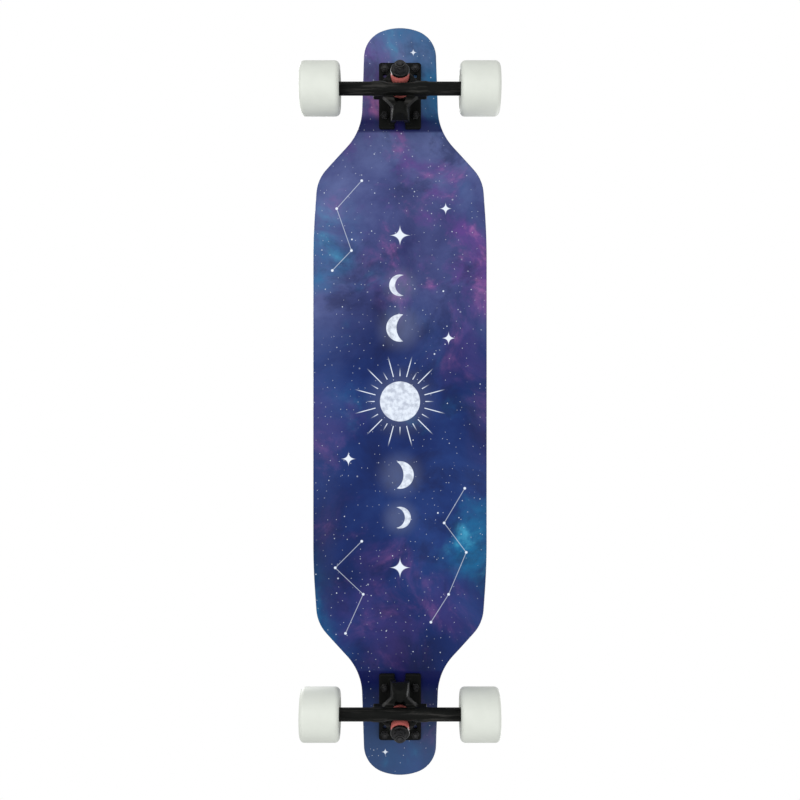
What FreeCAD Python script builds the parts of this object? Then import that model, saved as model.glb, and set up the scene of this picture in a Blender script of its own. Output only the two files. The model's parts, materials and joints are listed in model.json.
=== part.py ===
import FreeCAD, Part
import math
import os

# Deck: planform
deck_length = 1016.0
deck_width = 237.0
bow_length = 76.0
bow_radius = 900.0
flare_length = 65.6
shoulder_inset = 5.5
shoulder_radius = 50.0
tip_to_neck = 140.4
neck_half_width = 52.6
neck_radius = 78.0
nose_half_width = 48.2
nose_slant_angle = 18.0
nose_tip_run_share = 0.448
nose_corner_run_share = 0.525

# Deck: laminate and pressing
ply_count = 8
ply_thickness = 1.4
deck_edge_bevel = 2.5
rim_reach_share = 0.01
tip_to_press_end = 145.0
press_run_out = 80.0
hump_height = 2.2
valley_share = 0.62
press_margin = 10.0
press_stations = 7
press_rows = 9

# Grip tape
grip_thickness = 0.8
grip_inset = 2.6
grip_hole_clearance = 0.5

# Stance
tip_to_axle = 104.0
wheel_diameter = 70.0
axle_to_deck = 72.0

# Steering geometry of a truck
steer_angle = 28.0
axle_setback = 21.25
axle_rake = 9.1

# Hanger
hanger_width = 180.0
arm_diameter = 17.8
arm_end_chamfer = 1.2
waist_radius = 7.6
waist_half_length = 12.0
knuckle_radius = 9.8
knuckle_start = 24.0
knuckle_end = 33.0
knuckle_taper = 5.0
ring_outer_radius = 16.5
ring_half_height = 7.0
seat_web_half = 4.5
seat_clearance = 0.25
kingpin_hole_radius = 7.2
gusset_reach = 35.0
gusset_strut_width = 5.5
gusset_ring_wall = 3.0
gusset_corner_round = 1.0
yoke_reach = 27.0
yoke_half_height = 4.5
yoke_length = 22.75
yoke_end_half_width = 8.6
window_ring_wall = 2.0
window_end_wall = 4.5
window_start_half_width = 12.5
window_end_half_width = 5.0
window_corner_round = 2.0
casting_round = 1.6

# Pivot and its cup
pivot_root_radius = 7.2
pivot_tip_radius = 5.2
pivot_tip_bevel = 1.5
cup_mouth_gap = 1.5
cup_depth = 9.5
cup_wall = 1.8
cup_floor = 2.0
cup_clearance = 0.05
boss_radius = 10.2
boss_floor = 3.0
boss_bevel = 3.0

# Baseplate
plate_inner_margin = 17.9
plate_outer_margin = 8.6
plate_side_margin = 7.85
plate_thickness = 6.0
plate_corner_round = 3.2
plate_edge_bevel = 1.2
notch_width = 14.5
notch_depth = 13.0
wedge_outer_foot = 27.0
wedge_inner_foot = 27.0
wedge_plate_half_width = 14.0
wedge_seat_half_length = 14.0
ramp_foot = 30.0
ramp_rise = 10.5
channel_half_width = 5.5
channel_depth = 8.0
channel_head_room = 17.0

# Kingpin stack
kingpin_diameter = 9.5
kingpin_tail = 0.6
kingpin_grip = 14.0
kingpin_head_height = 6.0
kingpin_head_flats = 14.3
head_pocket_clearance = 1.2
bushing_diameter = 24.0
bushing_height = 16.0
bushing_bore_clearance = 0.1
washer_diameter = 24.6
washer_thickness = 2.6
washer_lip_depth = 2.0
washer_lip_wall = 1.2
kingpin_nut_flats = 14.3
kingpin_nut_height = 7.5
kingpin_collar_height = 1.2
kingpin_collar_radius = 6.6

# Mounting bolts
bolt_rows_spacing = 63.5
bolt_columns_spacing = 41.3
second_row_offset = 9.5
inner_row_setback = 17.3
bolt_diameter = 4.8
bolt_hole_clearance = 0.3
bolt_head_diameter = 9.4
bolt_head_height = 3.0
bolt_point_length = 2.4
mounting_nut_flats = 9.5
mounting_nut_height = 5.0

# Wheels
tyre_width = 51.0
tyre_lip_radius = 6.5
tyre_rim_width = 3.5
tyre_hub_wall = 4.0
tyre_hub_lip = 2.0
bearing_shoulder = 2.0

# Bearings and axle
axle_diameter = 8.0
axle_end_clearance = 2.0
bearing_diameter = 22.0
bearing_width = 7.0
inner_ring_wall = 2.1
seal_lip_clearance = 0.05
spacer_length = 10.0
spacer_wall = 1.0
spacer_bore_clearance = 0.05
speed_washer_wall = 2.0
speed_washer_thickness = 1.0
axle_nut_flats = 13.0
axle_nut_height = 6.0
axle_collar_height = 2.0
axle_collar_radius = 5.4

# How far every cutting tool runs past the face that it cuts
overrun = 1.0

# Derived sizes
tip_x = deck_length / 2
axle_x = tip_x - tip_to_axle
press_end_x = tip_x - tip_to_press_end
press_full_x = press_end_x - press_run_out
axle_z = wheel_diameter / 2
deck_under_z = axle_z + axle_to_deck
deck_thickness = ply_count * ply_thickness
deck_top_z = deck_under_z + deck_thickness
plate_road_z = deck_under_z - plate_thickness
steer = math.radians(steer_angle)
ring_x = axle_x + axle_setback * math.cos(steer) - axle_rake * math.sin(steer)
ring_z = axle_z + axle_setback * math.sin(steer) + axle_rake * math.cos(steer)
yoke_end = axle_setback + yoke_length
window_start = ring_outer_radius + window_ring_wall
window_end = yoke_end - window_end_wall
cup_mouth = yoke_end + cup_mouth_gap
pivot_reach = cup_mouth + cup_depth
boss_end = pivot_reach + cup_floor + boss_floor
pivot_taper_share = (cup_mouth - window_end) / (pivot_reach - pivot_tip_bevel - window_end)
pivot_mouth_radius = pivot_root_radius + pivot_taper_share * (pivot_tip_radius - pivot_root_radius)
cup_radius = pivot_mouth_radius + cup_wall
bushing_far = seat_web_half + bushing_height
washer_far = bushing_far + washer_thickness
washer_mouth_radius = washer_diameter / 2 - washer_lip_wall
washer_lip_start = bushing_far - washer_lip_depth
bolt_inner_x = axle_x - inner_row_setback
bolt_outer_x = bolt_inner_x + bolt_rows_spacing
plate_inner_x = bolt_inner_x - plate_inner_margin
plate_length = plate_inner_margin + bolt_rows_spacing + plate_outer_margin
plate_width = bolt_columns_spacing + 2 * plate_side_margin
axle_radius = axle_diameter / 2
inner_ring_radius = axle_radius + inner_ring_wall
bearing_inner_y = hanger_width / 2 + speed_washer_thickness
bearing_outer_y = bearing_inner_y + bearing_width + spacer_length
wheel_mid_y = bearing_inner_y + bearing_width + spacer_length / 2
stack_end_y = bearing_outer_y + bearing_width + speed_washer_thickness
axle_half_length = stack_end_y + axle_nut_height + axle_collar_height + axle_end_clearance

V = FreeCAD.Vector
along_x = V(1, 0, 0)
along_y = V(0, 1, 0)
along_z = V(0, 0, 1)


def rounded_outline(corners):
    """Closed flat wire through corners (x, y, radius), each turned by a tangent arc."""
    arcs = []
    count = len(corners)
    for index, (x, y, radius) in enumerate(corners):
        corner = V(x, y, 0)
        back = V(*corners[index - 1][:2], 0) - corner
        ahead = V(*corners[(index + 1) % count][:2], 0) - corner
        back.normalize()
        ahead.normalize()
        half_turn = (math.pi - back.getAngle(ahead)) / 2
        run = radius * math.tan(half_turn)
        middle = back + ahead
        middle.normalize()
        bulge = radius / math.cos(half_turn) - radius
        arcs.append((corner + back * run, corner + middle * bulge, corner + ahead * run))
    edges = []
    for index, (start, middle, end) in enumerate(arcs):
        edges.append(Part.Arc(start, middle, end).toShape())
        edges.append(Part.LineSegment(end, arcs[(index + 1) % count][0]).toShape())
    return Part.Wire(edges)


def flat_face(points):
    """Face bounded by straight lines between 3D points."""
    return Part.Face(Part.makePolygon(points + points[:1]))


def turned(profile, axis_point, axis):
    """Solid of revolution of a polygon given as 3D points."""
    return flat_face(profile).revolve(axis_point, axis, 360)


def rod(radius, start, end, axis):
    """Round bar along an axis through the origin, from start to end."""
    return Part.makeCylinder(radius, end - start, axis * start, axis)


def tube(outer_radius, inner_radius, start, end, axis):
    """Round tube along an axis through the origin."""
    return rod(outer_radius, start, end, axis).cut(rod(inner_radius, start - overrun, end + overrun, axis))


def hex_bar(flats, start, end, axis):
    """Six-sided bar along an axis through the origin, with flats given across."""
    corner_radius = flats / math.sqrt(3)
    corners = [V(corner_radius * math.cos(k * math.pi / 3), corner_radius * math.sin(k * math.pi / 3), 0)
               for k in range(6)]
    bar = flat_face(corners).extrude(along_z * (end - start))
    turn = FreeCAD.Rotation(along_z, axis)
    bar.rotate(V(), turn.Axis, math.degrees(turn.Angle))
    bar.translate(axis * start)
    return bar


def on_truck(shape):
    """Set a shape made about the ring centre (x on the steering axis, z to the deck) on the front truck."""
    placed = shape.copy()
    placed.rotate(V(), along_y, -steer_angle)
    placed.translate(V(ring_x, 0, ring_z))
    return placed


def truck_point(along, up):
    """Board position of a point given along the steering axis and towards the deck."""
    return V(ring_x + along * math.cos(steer) - up * math.sin(steer), 0,
             ring_z + along * math.sin(steer) + up * math.cos(steer))


def turned_about(shape):
    """The same shape at the other end of the board."""
    other = shape.copy()
    other.rotate(V(), along_z, 180)
    return other


def bolt_places(rows):
    """Positions of the mounting bolts of the front truck in the given rows."""
    return [V(x, side * bolt_columns_spacing / 2, 0) for x in rows for side in (-1, 1)]


# Deck and grip tape
def deck_outline():
    """Planform of the deck: straight waist, shoulders, narrow necks at the wheels, blunt ends."""
    neck_x = tip_x - tip_to_neck
    shoulder_x = neck_x - flare_length
    slant = math.radians(nose_slant_angle)
    slant_length = nose_half_width / math.cos(slant)
    tip_radius = nose_tip_run_share * slant_length / math.tan(slant)
    apex_x = tip_x + tip_radius / math.cos(slant) - tip_radius
    corner_x = apex_x - nose_half_width * math.tan(slant)
    side_lean = math.atan2(neck_half_width - nose_half_width, corner_x - neck_x)
    corner_turn = math.pi / 2 - slant - side_lean
    corner_radius = nose_corner_run_share * slant_length / math.tan(corner_turn / 2)
    side = [(shoulder_x - bow_length, deck_width / 2, bow_radius),
            (shoulder_x, deck_width / 2 - shoulder_inset, shoulder_radius),
            (neck_x, neck_half_width, neck_radius),
            (corner_x, nose_half_width, corner_radius)]
    right = side + [(apex_x, 0, tip_radius)] + [(x, -y, r) for x, y, r in reversed(side)]
    left = [(-x, -y, r) for x, y, r in right]
    return rounded_outline(right + left)


def press_height(x, y):
    """Rise of the pressed deck: a low hump in the middle, two valleys and raised rails."""
    run_out = (abs(x) - press_full_x) / (press_end_x - press_full_x)
    run_out = min(max(run_out, 0), 1)
    fade = 1 - run_out ** 3 * (10 - 15 * run_out + 6 * run_out ** 2)
    across = y / (deck_width / 2) / valley_share
    return fade * hump_height * (1 - across ** 2) ** 2


def run_out_surface(base_z, half_width):
    """Face on which the pressing fades into the flat end of the deck."""
    rows = []
    for station in range(press_stations):
        x = press_full_x + (press_end_x - press_full_x) * station / (press_stations - 1)
        row = []
        for place in range(press_rows):
            y = half_width * (2 * place / (press_rows - 1) - 1)
            row.append(V(x, y, base_z + press_height(x, y)))
        rows.append(row)
    surface = Part.BSplineSurface()
    surface.interpolate(rows)
    return surface.toShape()


def waist_edge(run_out):
    """Edge of a run-out face on the side of the board's middle."""
    return min(run_out.Edges, key=lambda edge: abs(edge.CenterOfMass.x))


def pressed_sheet(base_z, thickness):
    """Sheet of even height that follows the pressing, with flat ends for the trucks."""
    half_width = deck_width / 2 + press_margin
    end_length = tip_to_press_end + press_margin
    run_out = run_out_surface(base_z, half_width)
    waist = Part.makeRuledSurface(waist_edge(run_out), waist_edge(turned_about(run_out)))
    end = Part.makeBox(end_length, 2 * half_width, thickness, V(press_end_x, -half_width, base_z))
    lift = along_z * thickness
    pieces = [run_out.extrude(lift), turned_about(run_out).extrude(lift), end, turned_about(end)]
    return waist.extrude(lift).fuse(pieces).removeSplitter()


def outline_prism(inset):
    """Upright prism of the deck's planform, drawn in by an inset."""
    face = Part.Face(deck_outline())
    if inset:
        face = face.makeOffset2D(-inset)
    face.translate(along_z * (deck_under_z - overrun))
    rail_rise = press_height(0, deck_width / 2)
    return face.extrude(along_z * (deck_thickness + rail_rise + grip_thickness + 2 * overrun))


def mounting_holes(radius):
    """Upright bars at every mounting bolt of both trucks."""
    bars = []
    for place in bolt_places((bolt_inner_x, bolt_outer_x)):
        bar = rod(radius, deck_under_z - overrun, deck_top_z + deck_thickness, along_z)
        bar.translate(place)
        bars += [bar, turned_about(bar)]
    return Part.makeCompound(bars)


def countersinks():
    """Cones that let the bolt heads sit flush with the top of the deck."""
    cones = []
    for place in bolt_places((bolt_inner_x, bolt_outer_x)):
        cone = bolt_head()
        cone.translate(place)
        cones += [cone, turned_about(cone)]
    return Part.makeCompound(cones)


def on_rim(edge, prism):
    """True for an edge that runs round the rim of the deck, along its top or bottom."""
    box = edge.BoundBox
    middle = edge.valueAt((edge.FirstParameter + edge.LastParameter) / 2)
    upright = box.ZLength > deck_thickness - deck_edge_bevel
    side = Part.Shell([face for face in prism.Faces if abs(face.normalAt(0, 0).z) < 0.5])
    return not upright and side.distToShape(Part.Vertex(middle))[0] < deck_edge_bevel * rim_reach_share


def deck():
    prism = outline_prism(0)
    body = pressed_sheet(deck_under_z, deck_thickness).common(prism)
    rim = [edge for edge in body.Edges if on_rim(edge, prism)]
    body = body.makeChamfer(deck_edge_bevel, rim)
    body = body.cut(mounting_holes(bolt_diameter / 2 + bolt_hole_clearance))
    return body.cut(countersinks())


def grip_tape():
    sheet = pressed_sheet(deck_top_z, grip_thickness).common(outline_prism(grip_inset))
    return sheet.cut(mounting_holes(bolt_head_diameter / 2 + grip_hole_clearance))


# Mounting bolts and nuts
def bolt_head():
    """Countersunk head, flush with the top of the deck."""
    shank = bolt_diameter / 2
    head = bolt_head_diameter / 2
    profile = [V(0, 0, deck_top_z), V(head, 0, deck_top_z), V(shank, 0, deck_top_z - bolt_head_height),
               V(0, 0, deck_top_z - bolt_head_height)]
    return turned(profile, V(), along_z)


def mounting_bolts():
    bolts = []
    for place in bolt_places((bolt_inner_x, bolt_outer_x)):
        low = plate_road_z - mounting_nut_height - bolt_point_length
        shank = rod(bolt_diameter / 2, low, deck_top_z - bolt_head_height, along_z)
        bolt = shank.fuse(bolt_head()).removeSplitter()
        bolt.translate(place)
        bolts.append(bolt)
    return Part.makeCompound(bolts)


def mounting_nuts():
    nuts = []
    for place in bolt_places((bolt_inner_x, bolt_outer_x)):
        nut = hex_bar(mounting_nut_flats, plate_road_z - mounting_nut_height, plate_road_z, along_z)
        nut = nut.cut(rod(bolt_diameter / 2, 0, deck_top_z, along_z))
        nut.translate(place)
        nuts.append(nut)
    return Part.makeCompound(nuts)


# Baseplate casting
def mounting_plate():
    """Flat foot with rounded corners, six bolt holes and a notch in its inner end."""
    corner = V(plate_inner_x, -plate_width / 2, plate_road_z)
    plate = Part.makeBox(plate_length, plate_width, plate_thickness, corner)
    corners = [edge for edge in plate.Edges if edge.BoundBox.ZLength > plate_thickness / 2]
    plate = plate.makeFillet(plate_corner_round, corners)
    rim = [edge for edge in plate.Edges if edge.BoundBox.ZMax < plate_road_z + plate_edge_bevel]
    return plate.makeChamfer(plate_edge_bevel, rim)


def plate_openings():
    """Tools for the bolt holes and for the notch."""
    second_row = bolt_outer_x - second_row_offset
    hole_radius = bolt_diameter / 2 + bolt_hole_clearance
    tools = []
    for place in bolt_places((bolt_inner_x, second_row, bolt_outer_x)):
        hole = rod(hole_radius, plate_road_z - overrun, deck_under_z + overrun, along_z)
        hole.translate(place)
        tools.append(hole)
    end_x = plate_inner_x + notch_depth - notch_width / 2
    round_end = rod(notch_width / 2, plate_road_z - overrun, deck_under_z + overrun, along_z)
    round_end.translate(V(end_x, 0, 0))
    slot = Part.makeBox(end_x - plate_inner_x + overrun, notch_width, plate_thickness + 2 * overrun,
                        V(plate_inner_x - overrun, -notch_width / 2, plate_road_z - overrun))
    return tools + [round_end, slot]


def wedge():
    """Sloped block under the kingpin that rises into the pivot tower, narrower towards the road."""
    middle_z = plate_road_z + plate_thickness / 2
    side = [V(axle_x + wedge_outer_foot, 0, middle_z),
            truck_point(wedge_seat_half_length, washer_far),
            truck_point(-wedge_seat_half_length, washer_far),
            truck_point(-ramp_foot, ramp_rise),
            truck_point(-cup_mouth, ramp_rise),
            truck_point(-cup_mouth, 0),
            truck_point(-boss_end, 0),
            truck_point(-boss_end, boss_radius - boss_bevel),
            V(axle_x - wedge_inner_foot, 0, middle_z)]
    side_block = flat_face(side).extrude(along_y * plate_width)
    side_block.translate(along_y * (-plate_width / 2))
    tip_z = truck_point(-boss_end, 0).z
    front = [V(0, -wedge_plate_half_width, middle_z), V(0, wedge_plate_half_width, middle_z),
             V(0, boss_radius, tip_z), V(0, -boss_radius, tip_z)]
    front_block = flat_face(front).extrude(along_x * (axle_x + plate_length))
    return side_block.common(front_block)


def pivot_boss():
    """Round housing of the pivot cup, closed at its inner end."""
    profile = [V(-boss_end, 0, 0),
               V(-boss_end, 0, boss_radius - boss_bevel),
               V(-boss_end + boss_bevel, 0, boss_radius),
               V(-cup_mouth, 0, boss_radius),
               V(-cup_mouth, 0, 0)]
    return on_truck(turned(profile, V(), along_x))


def baseplate():
    body = mounting_plate().fuse([wedge(), pivot_boss()]).removeSplitter()
    head_seat = washer_far + kingpin_grip
    kingpin_bore = rod(kingpin_diameter / 2, washer_far - overrun, head_seat + overrun, along_z)
    head_pocket_radius = kingpin_head_flats / math.sqrt(3) + head_pocket_clearance
    head_pocket = rod(head_pocket_radius, head_seat, head_seat + plate_length, along_z)
    cup_bore = rod(cup_radius, -pivot_reach - cup_floor, -cup_mouth + overrun, along_x)
    back_x = truck_point(-boss_end, 0).x
    channel_top = truck_point(-pivot_reach, boss_radius).z + channel_head_room
    channel = Part.makeBox(axle_x - wedge_inner_foot + channel_depth - back_x, 2 * channel_half_width,
                           deck_under_z + overrun - channel_top, V(back_x, -channel_half_width, channel_top))
    tools = [on_truck(kingpin_bore), on_truck(head_pocket), on_truck(cup_bore), channel]
    return body.cut(tools + plate_openings())


def pivot_cup():
    """Urethane cup pressed into the boss, a close fit round the pivot."""
    outer = rod(cup_radius, -pivot_reach - cup_floor, -cup_mouth, along_x)
    return on_truck(outer.cut(pivot_pin(cup_clearance)))


# Kingpin stack
def kingpin():
    head_seat = washer_far + kingpin_grip
    tail = -(washer_far + kingpin_nut_height + kingpin_collar_height + kingpin_tail)
    shank = rod(kingpin_diameter / 2, tail, head_seat, along_z)
    head = hex_bar(kingpin_head_flats, head_seat, head_seat + kingpin_head_height, along_z)
    return on_truck(shank.fuse(head).removeSplitter())


def kingpin_nut():
    collar_start = washer_far + kingpin_nut_height
    nut = hex_bar(kingpin_nut_flats, -collar_start, -washer_far, along_z)
    nut = nut.fuse(rod(kingpin_collar_radius, -collar_start - kingpin_collar_height, -collar_start, along_z))
    bore = rod(kingpin_diameter / 2, -collar_start - kingpin_collar_height - overrun, overrun, along_z)
    return on_truck(nut.cut(bore))


def bushing(side):
    """Barrel of soft urethane on one side of the hanger ring, +1 towards the deck, its end held in a cup."""
    body = rod(bushing_diameter / 2, seat_web_half, washer_lip_start, along_z)
    body = body.fuse(rod(washer_mouth_radius, seat_web_half, bushing_far, along_z)).removeSplitter()
    body = body.cut(rod(kingpin_diameter / 2 + bushing_bore_clearance, 0, washer_far, along_z))
    if side < 0:
        body.rotate(V(), along_x, 180)
    return on_truck(body)


def washer(side):
    """Cup washer that spreads the load on a bushing, +1 towards the deck."""
    body = rod(washer_diameter / 2, washer_lip_start, washer_far, along_z)
    body = body.cut(rod(washer_mouth_radius, 0, bushing_far, along_z))
    body = body.cut(rod(kingpin_diameter / 2, 0, washer_far + overrun, along_z))
    if side < 0:
        body.rotate(V(), along_x, 180)
    return on_truck(body)


# Hanger casting
def pivot_pin(growth):
    """Tapered pivot with a blunt tip, grown all over by a clearance."""
    root_x = -window_end
    profile = [V(-pivot_reach - growth, 0, 0),
               V(-pivot_reach - growth, 0, pivot_tip_radius - pivot_tip_bevel + growth),
               V(-pivot_reach + pivot_tip_bevel, 0, pivot_tip_radius + growth),
               V(root_x, 0, pivot_root_radius + growth),
               V(root_x, 0, 0)]
    return turned(profile, V(), along_x)


def hanger_bar():
    """Round arms that swell to a knuckle each beside a slimmer waist."""
    arm_radius = arm_diameter / 2
    end = hanger_width / 2
    half = [(waist_half_length, waist_radius),
            (knuckle_start, knuckle_radius),
            (knuckle_end, knuckle_radius),
            (knuckle_end + knuckle_taper, arm_radius),
            (end - arm_end_chamfer, arm_radius),
            (end, arm_radius - arm_end_chamfer),
            (end, 0)]
    profile = [V(0, y, radius) for y, radius in half] + [V(0, -y, radius) for y, radius in reversed(half)]
    bar = turned(profile, V(), along_y)
    bar.translate(V(-axle_setback, 0, -axle_rake))
    return bar


def gusset_angle():
    """Angle at which the edge of a gusset leaves the ring as a tangent."""
    gusset_turn = math.acos(ring_outer_radius / math.hypot(gusset_reach, axle_setback))
    return math.atan2(gusset_reach, -axle_setback) - gusset_turn


def gusset_openings():
    """Three-cornered tools that open each gusset between its strut, the ring and the bar."""
    turn = gusset_angle()
    strut_inside = ring_outer_radius - gusset_strut_width
    inner_y = bushing_diameter / 2 + seat_clearance + gusset_ring_wall
    bar_x = arm_diameter / 2 - axle_setback
    strut_foot_y = (strut_inside - bar_x * math.cos(turn)) / math.sin(turn)
    strut_top_x = (strut_inside - inner_y * math.sin(turn)) / math.cos(turn)
    tools = []
    for side in (-1, 1):
        corners = [(bar_x, side * inner_y, gusset_corner_round),
                   (bar_x, side * strut_foot_y, gusset_corner_round),
                   (strut_top_x, side * inner_y, gusset_corner_round)]
        tool = Part.Face(rounded_outline(corners)).extrude(along_z * (2 * ring_half_height + 2 * overrun))
        tool.translate(along_z * (-ring_half_height - overrun))
        tools.append(tool)
    return tools


def hanger_ring():
    """Ring that holds both bushings, with gussets that run as tangents out to the arms."""
    arm_far = axle_setback + arm_diameter / 4
    apex = ring_outer_radius / math.cos(gusset_angle())
    corners = [(apex, 0, ring_outer_radius),
               (-axle_setback, gusset_reach, casting_round),
               (-arm_far, gusset_reach, casting_round),
               (-arm_far, -gusset_reach, casting_round),
               (-axle_setback, -gusset_reach, casting_round)]
    ring = Part.Face(rounded_outline(corners)).extrude(along_z * (2 * ring_half_height))
    ring.translate(along_z * -ring_half_height)
    rims = [edge for edge in ring.Edges if edge.BoundBox.ZLength < casting_round]
    return ring.makeFillet(casting_round, rims)


def yoke_window():
    """Tool for the window between the yoke's legs, through which the boardside bushing shows."""
    corners = [(-window_start, -window_start_half_width, window_corner_round),
               (-window_start, window_start_half_width, window_corner_round),
               (-window_end, window_end_half_width, window_corner_round),
               (-window_end, -window_end_half_width, window_corner_round)]
    tool = Part.Face(rounded_outline(corners)).extrude(along_z * (2 * ring_half_height + 2 * overrun))
    tool.translate(along_z * (-ring_half_height - overrun))
    return tool


def hanger_yoke():
    """Two legs that close into the pivot."""
    corners = [(-axle_setback, -yoke_reach, casting_round),
               (-axle_setback, yoke_reach, casting_round),
               (-yoke_end, yoke_end_half_width, casting_round),
               (-yoke_end, -yoke_end_half_width, casting_round)]
    yoke = Part.Face(rounded_outline(corners)).extrude(along_z * (2 * yoke_half_height))
    yoke.translate(along_z * -yoke_half_height)
    return yoke


def hanger():
    frame = hanger_ring().fuse(hanger_yoke()).cut([yoke_window()] + gusset_openings())
    body = frame.fuse([hanger_bar(), pivot_pin(0)]).removeSplitter()
    seat_radius = bushing_diameter / 2 + seat_clearance
    axle_bore = rod(axle_radius, -hanger_width, hanger_width, along_y)
    axle_bore.translate(V(-axle_setback, 0, -axle_rake))
    tools = [rod(seat_radius, seat_web_half, bushing_far, along_z),
             rod(seat_radius, -bushing_far, -seat_web_half, along_z),
             rod(kingpin_hole_radius, -bushing_far, bushing_far, along_z),
             axle_bore]
    return on_truck(body.cut(tools))


# Axle and what is threaded on it
def at_axle(shape):
    shape.translate(V(axle_x, 0, axle_z))
    return shape


def both_ends(shape):
    """The shape on one end of the axle and its twin on the other, as separate solids."""
    return at_axle(Part.makeCompound([shape, turned_about(shape)]))


def in_both_bearings(shape):
    """A piece of a bearing in each of the two bearings at one end of the axle."""
    pieces = []
    for start in (bearing_inner_y, bearing_outer_y):
        placed = shape.copy()
        placed.translate(along_y * start)
        pieces.append(placed)
    return Part.makeCompound(pieces)


def axle():
    return at_axle(rod(axle_radius, -axle_half_length, axle_half_length, along_y))


def axle_nuts():
    collar_start = stack_end_y + axle_nut_height
    nut = hex_bar(axle_nut_flats, stack_end_y, collar_start, along_y)
    nut = nut.fuse(rod(axle_collar_radius, collar_start, collar_start + axle_collar_height, along_y))
    return both_ends(nut.cut(rod(axle_radius, 0, axle_half_length, along_y)))


def speed_washers():
    rings = []
    for start in (hanger_width / 2, bearing_outer_y + bearing_width):
        end = start + speed_washer_thickness
        rings.append(tube(axle_radius + speed_washer_wall, axle_radius, start, end, along_y))
    return both_ends(Part.makeCompound(rings))


def bearing_spacers():
    start = bearing_inner_y + bearing_width
    bore = axle_radius + spacer_bore_clearance
    return both_ends(tube(axle_radius + spacer_wall, bore, start, start + spacer_length, along_y))


def bearing_inner_rings():
    ring = tube(inner_ring_radius, axle_radius, 0, bearing_width, along_y)
    return both_ends(in_both_bearings(ring))


# Wheels
def on_wheel(shape, side):
    """A shape made on the left end of the y axis, set on the left (+1) or right (-1) of the front axle."""
    return at_axle(shape if side > 0 else turned_about(shape))


def tyre(side):
    """Urethane wheel with round lips, dished faces and a seat for a bearing on each side."""
    half = tyre_width / 2
    seat_half = spacer_length / 2
    hub_half = seat_half + bearing_width + tyre_hub_lip
    outer = wheel_diameter / 2
    seat_radius = bearing_diameter / 2
    lip_middle = tyre_lip_radius * (1 - math.sqrt(0.5))
    inward = [(outer, half - tyre_lip_radius),
              (outer - lip_middle, half - lip_middle),
              (outer - tyre_lip_radius, half),
              (outer - tyre_lip_radius - tyre_rim_width, half),
              (seat_radius + tyre_hub_wall, hub_half),
              (seat_radius, hub_half),
              (seat_radius, seat_half),
              (seat_radius - bearing_shoulder, seat_half)]
    profile = [V(radius, wheel_mid_y + reach, 0) for radius, reach in inward]
    profile += [V(radius, wheel_mid_y - reach, 0) for radius, reach in reversed(inward)]
    return on_wheel(turned(profile, V(), along_y), side)


def bearing_outer_rings(side):
    """Outer rings with their rubber seals, whose lips run on the inner rings."""
    lip = inner_ring_radius + seal_lip_clearance
    ring = tube(bearing_diameter / 2, lip, 0, bearing_width, along_y)
    return on_wheel(in_both_bearings(ring), side)


def export(name, shape):
    shape.exportStep("parts/" + name + ".step")


def main():
    os.makedirs("parts", exist_ok=True)
    export("deck", deck())
    export("grip_tape", grip_tape())
    truck = {"baseplate": baseplate(), "pivot_cup": pivot_cup(), "hanger": hanger(), "axle": axle(),
             "kingpin": kingpin(), "kingpin_nut": kingpin_nut(),
             "boardside_bushing": bushing(1), "roadside_bushing": bushing(-1),
             "boardside_washer": washer(1), "roadside_washer": washer(-1),
             "mounting_bolts": mounting_bolts(), "mounting_nuts": mounting_nuts(),
             "axle_nuts": axle_nuts(), "speed_washers": speed_washers(),
             "bearing_spacers": bearing_spacers(), "bearing_inner_rings": bearing_inner_rings()}
    for side, place in ((1, "left"), (-1, "right")):
        truck[place + "_tyre"] = tyre(side)
        truck[place + "_bearing_outer_rings"] = bearing_outer_rings(side)
    swapped = {"left": "right", "right": "left"}
    for name, shape in truck.items():
        export("front_" + name, shape)
        first, _, rest = name.partition("_")
        export("rear_" + (swapped[first] + "_" + rest if first in swapped else name), turned_about(shape))


main()
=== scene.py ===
"""Longboard skateboard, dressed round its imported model: deck, grip, trucks and wheels."""

import json
import logging
import math
from collections.abc import Callable, Sequence
from dataclasses import dataclass, field, replace
from enum import Enum

import bmesh
import bpy
from mathutils import Matrix, Vector


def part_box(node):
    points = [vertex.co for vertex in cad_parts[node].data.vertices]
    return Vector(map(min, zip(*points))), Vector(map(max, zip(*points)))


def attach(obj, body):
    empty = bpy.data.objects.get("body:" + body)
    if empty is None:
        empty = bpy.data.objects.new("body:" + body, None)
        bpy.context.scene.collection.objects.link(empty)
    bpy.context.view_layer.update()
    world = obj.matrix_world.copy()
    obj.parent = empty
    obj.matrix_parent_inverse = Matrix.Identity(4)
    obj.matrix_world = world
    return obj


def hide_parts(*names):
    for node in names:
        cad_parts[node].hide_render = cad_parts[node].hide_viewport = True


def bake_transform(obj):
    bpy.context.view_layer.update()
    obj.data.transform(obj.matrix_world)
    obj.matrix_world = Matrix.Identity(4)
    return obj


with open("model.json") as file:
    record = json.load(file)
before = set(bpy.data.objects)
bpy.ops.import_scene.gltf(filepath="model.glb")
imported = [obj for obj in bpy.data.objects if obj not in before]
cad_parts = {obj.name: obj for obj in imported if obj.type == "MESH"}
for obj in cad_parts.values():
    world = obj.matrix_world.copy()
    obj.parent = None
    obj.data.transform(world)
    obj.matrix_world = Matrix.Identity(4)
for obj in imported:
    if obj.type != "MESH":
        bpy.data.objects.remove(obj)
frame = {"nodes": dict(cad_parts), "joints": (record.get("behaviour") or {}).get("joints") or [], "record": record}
log = logging.getLogger("longboard")
BOARD = "board"
FLAT = (1.0, 1.0, 0.0)
NUMBER_SUMS = ("DISTANCE", "DOT_PRODUCT", "LENGTH")
# Angles, in degrees, above which the edges of turned pieces and of hexagons stay sharp.
SHARP = 35.0
HEX_SHARP = 28.0

Socket = bpy.types.NodeSocket
Piece = bpy.types.Object
Shape = bmesh.types.BMesh
# Where a change begins and ends, and the results there if they aren't 0 and 1.
Fade = tuple[float, ...]
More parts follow.
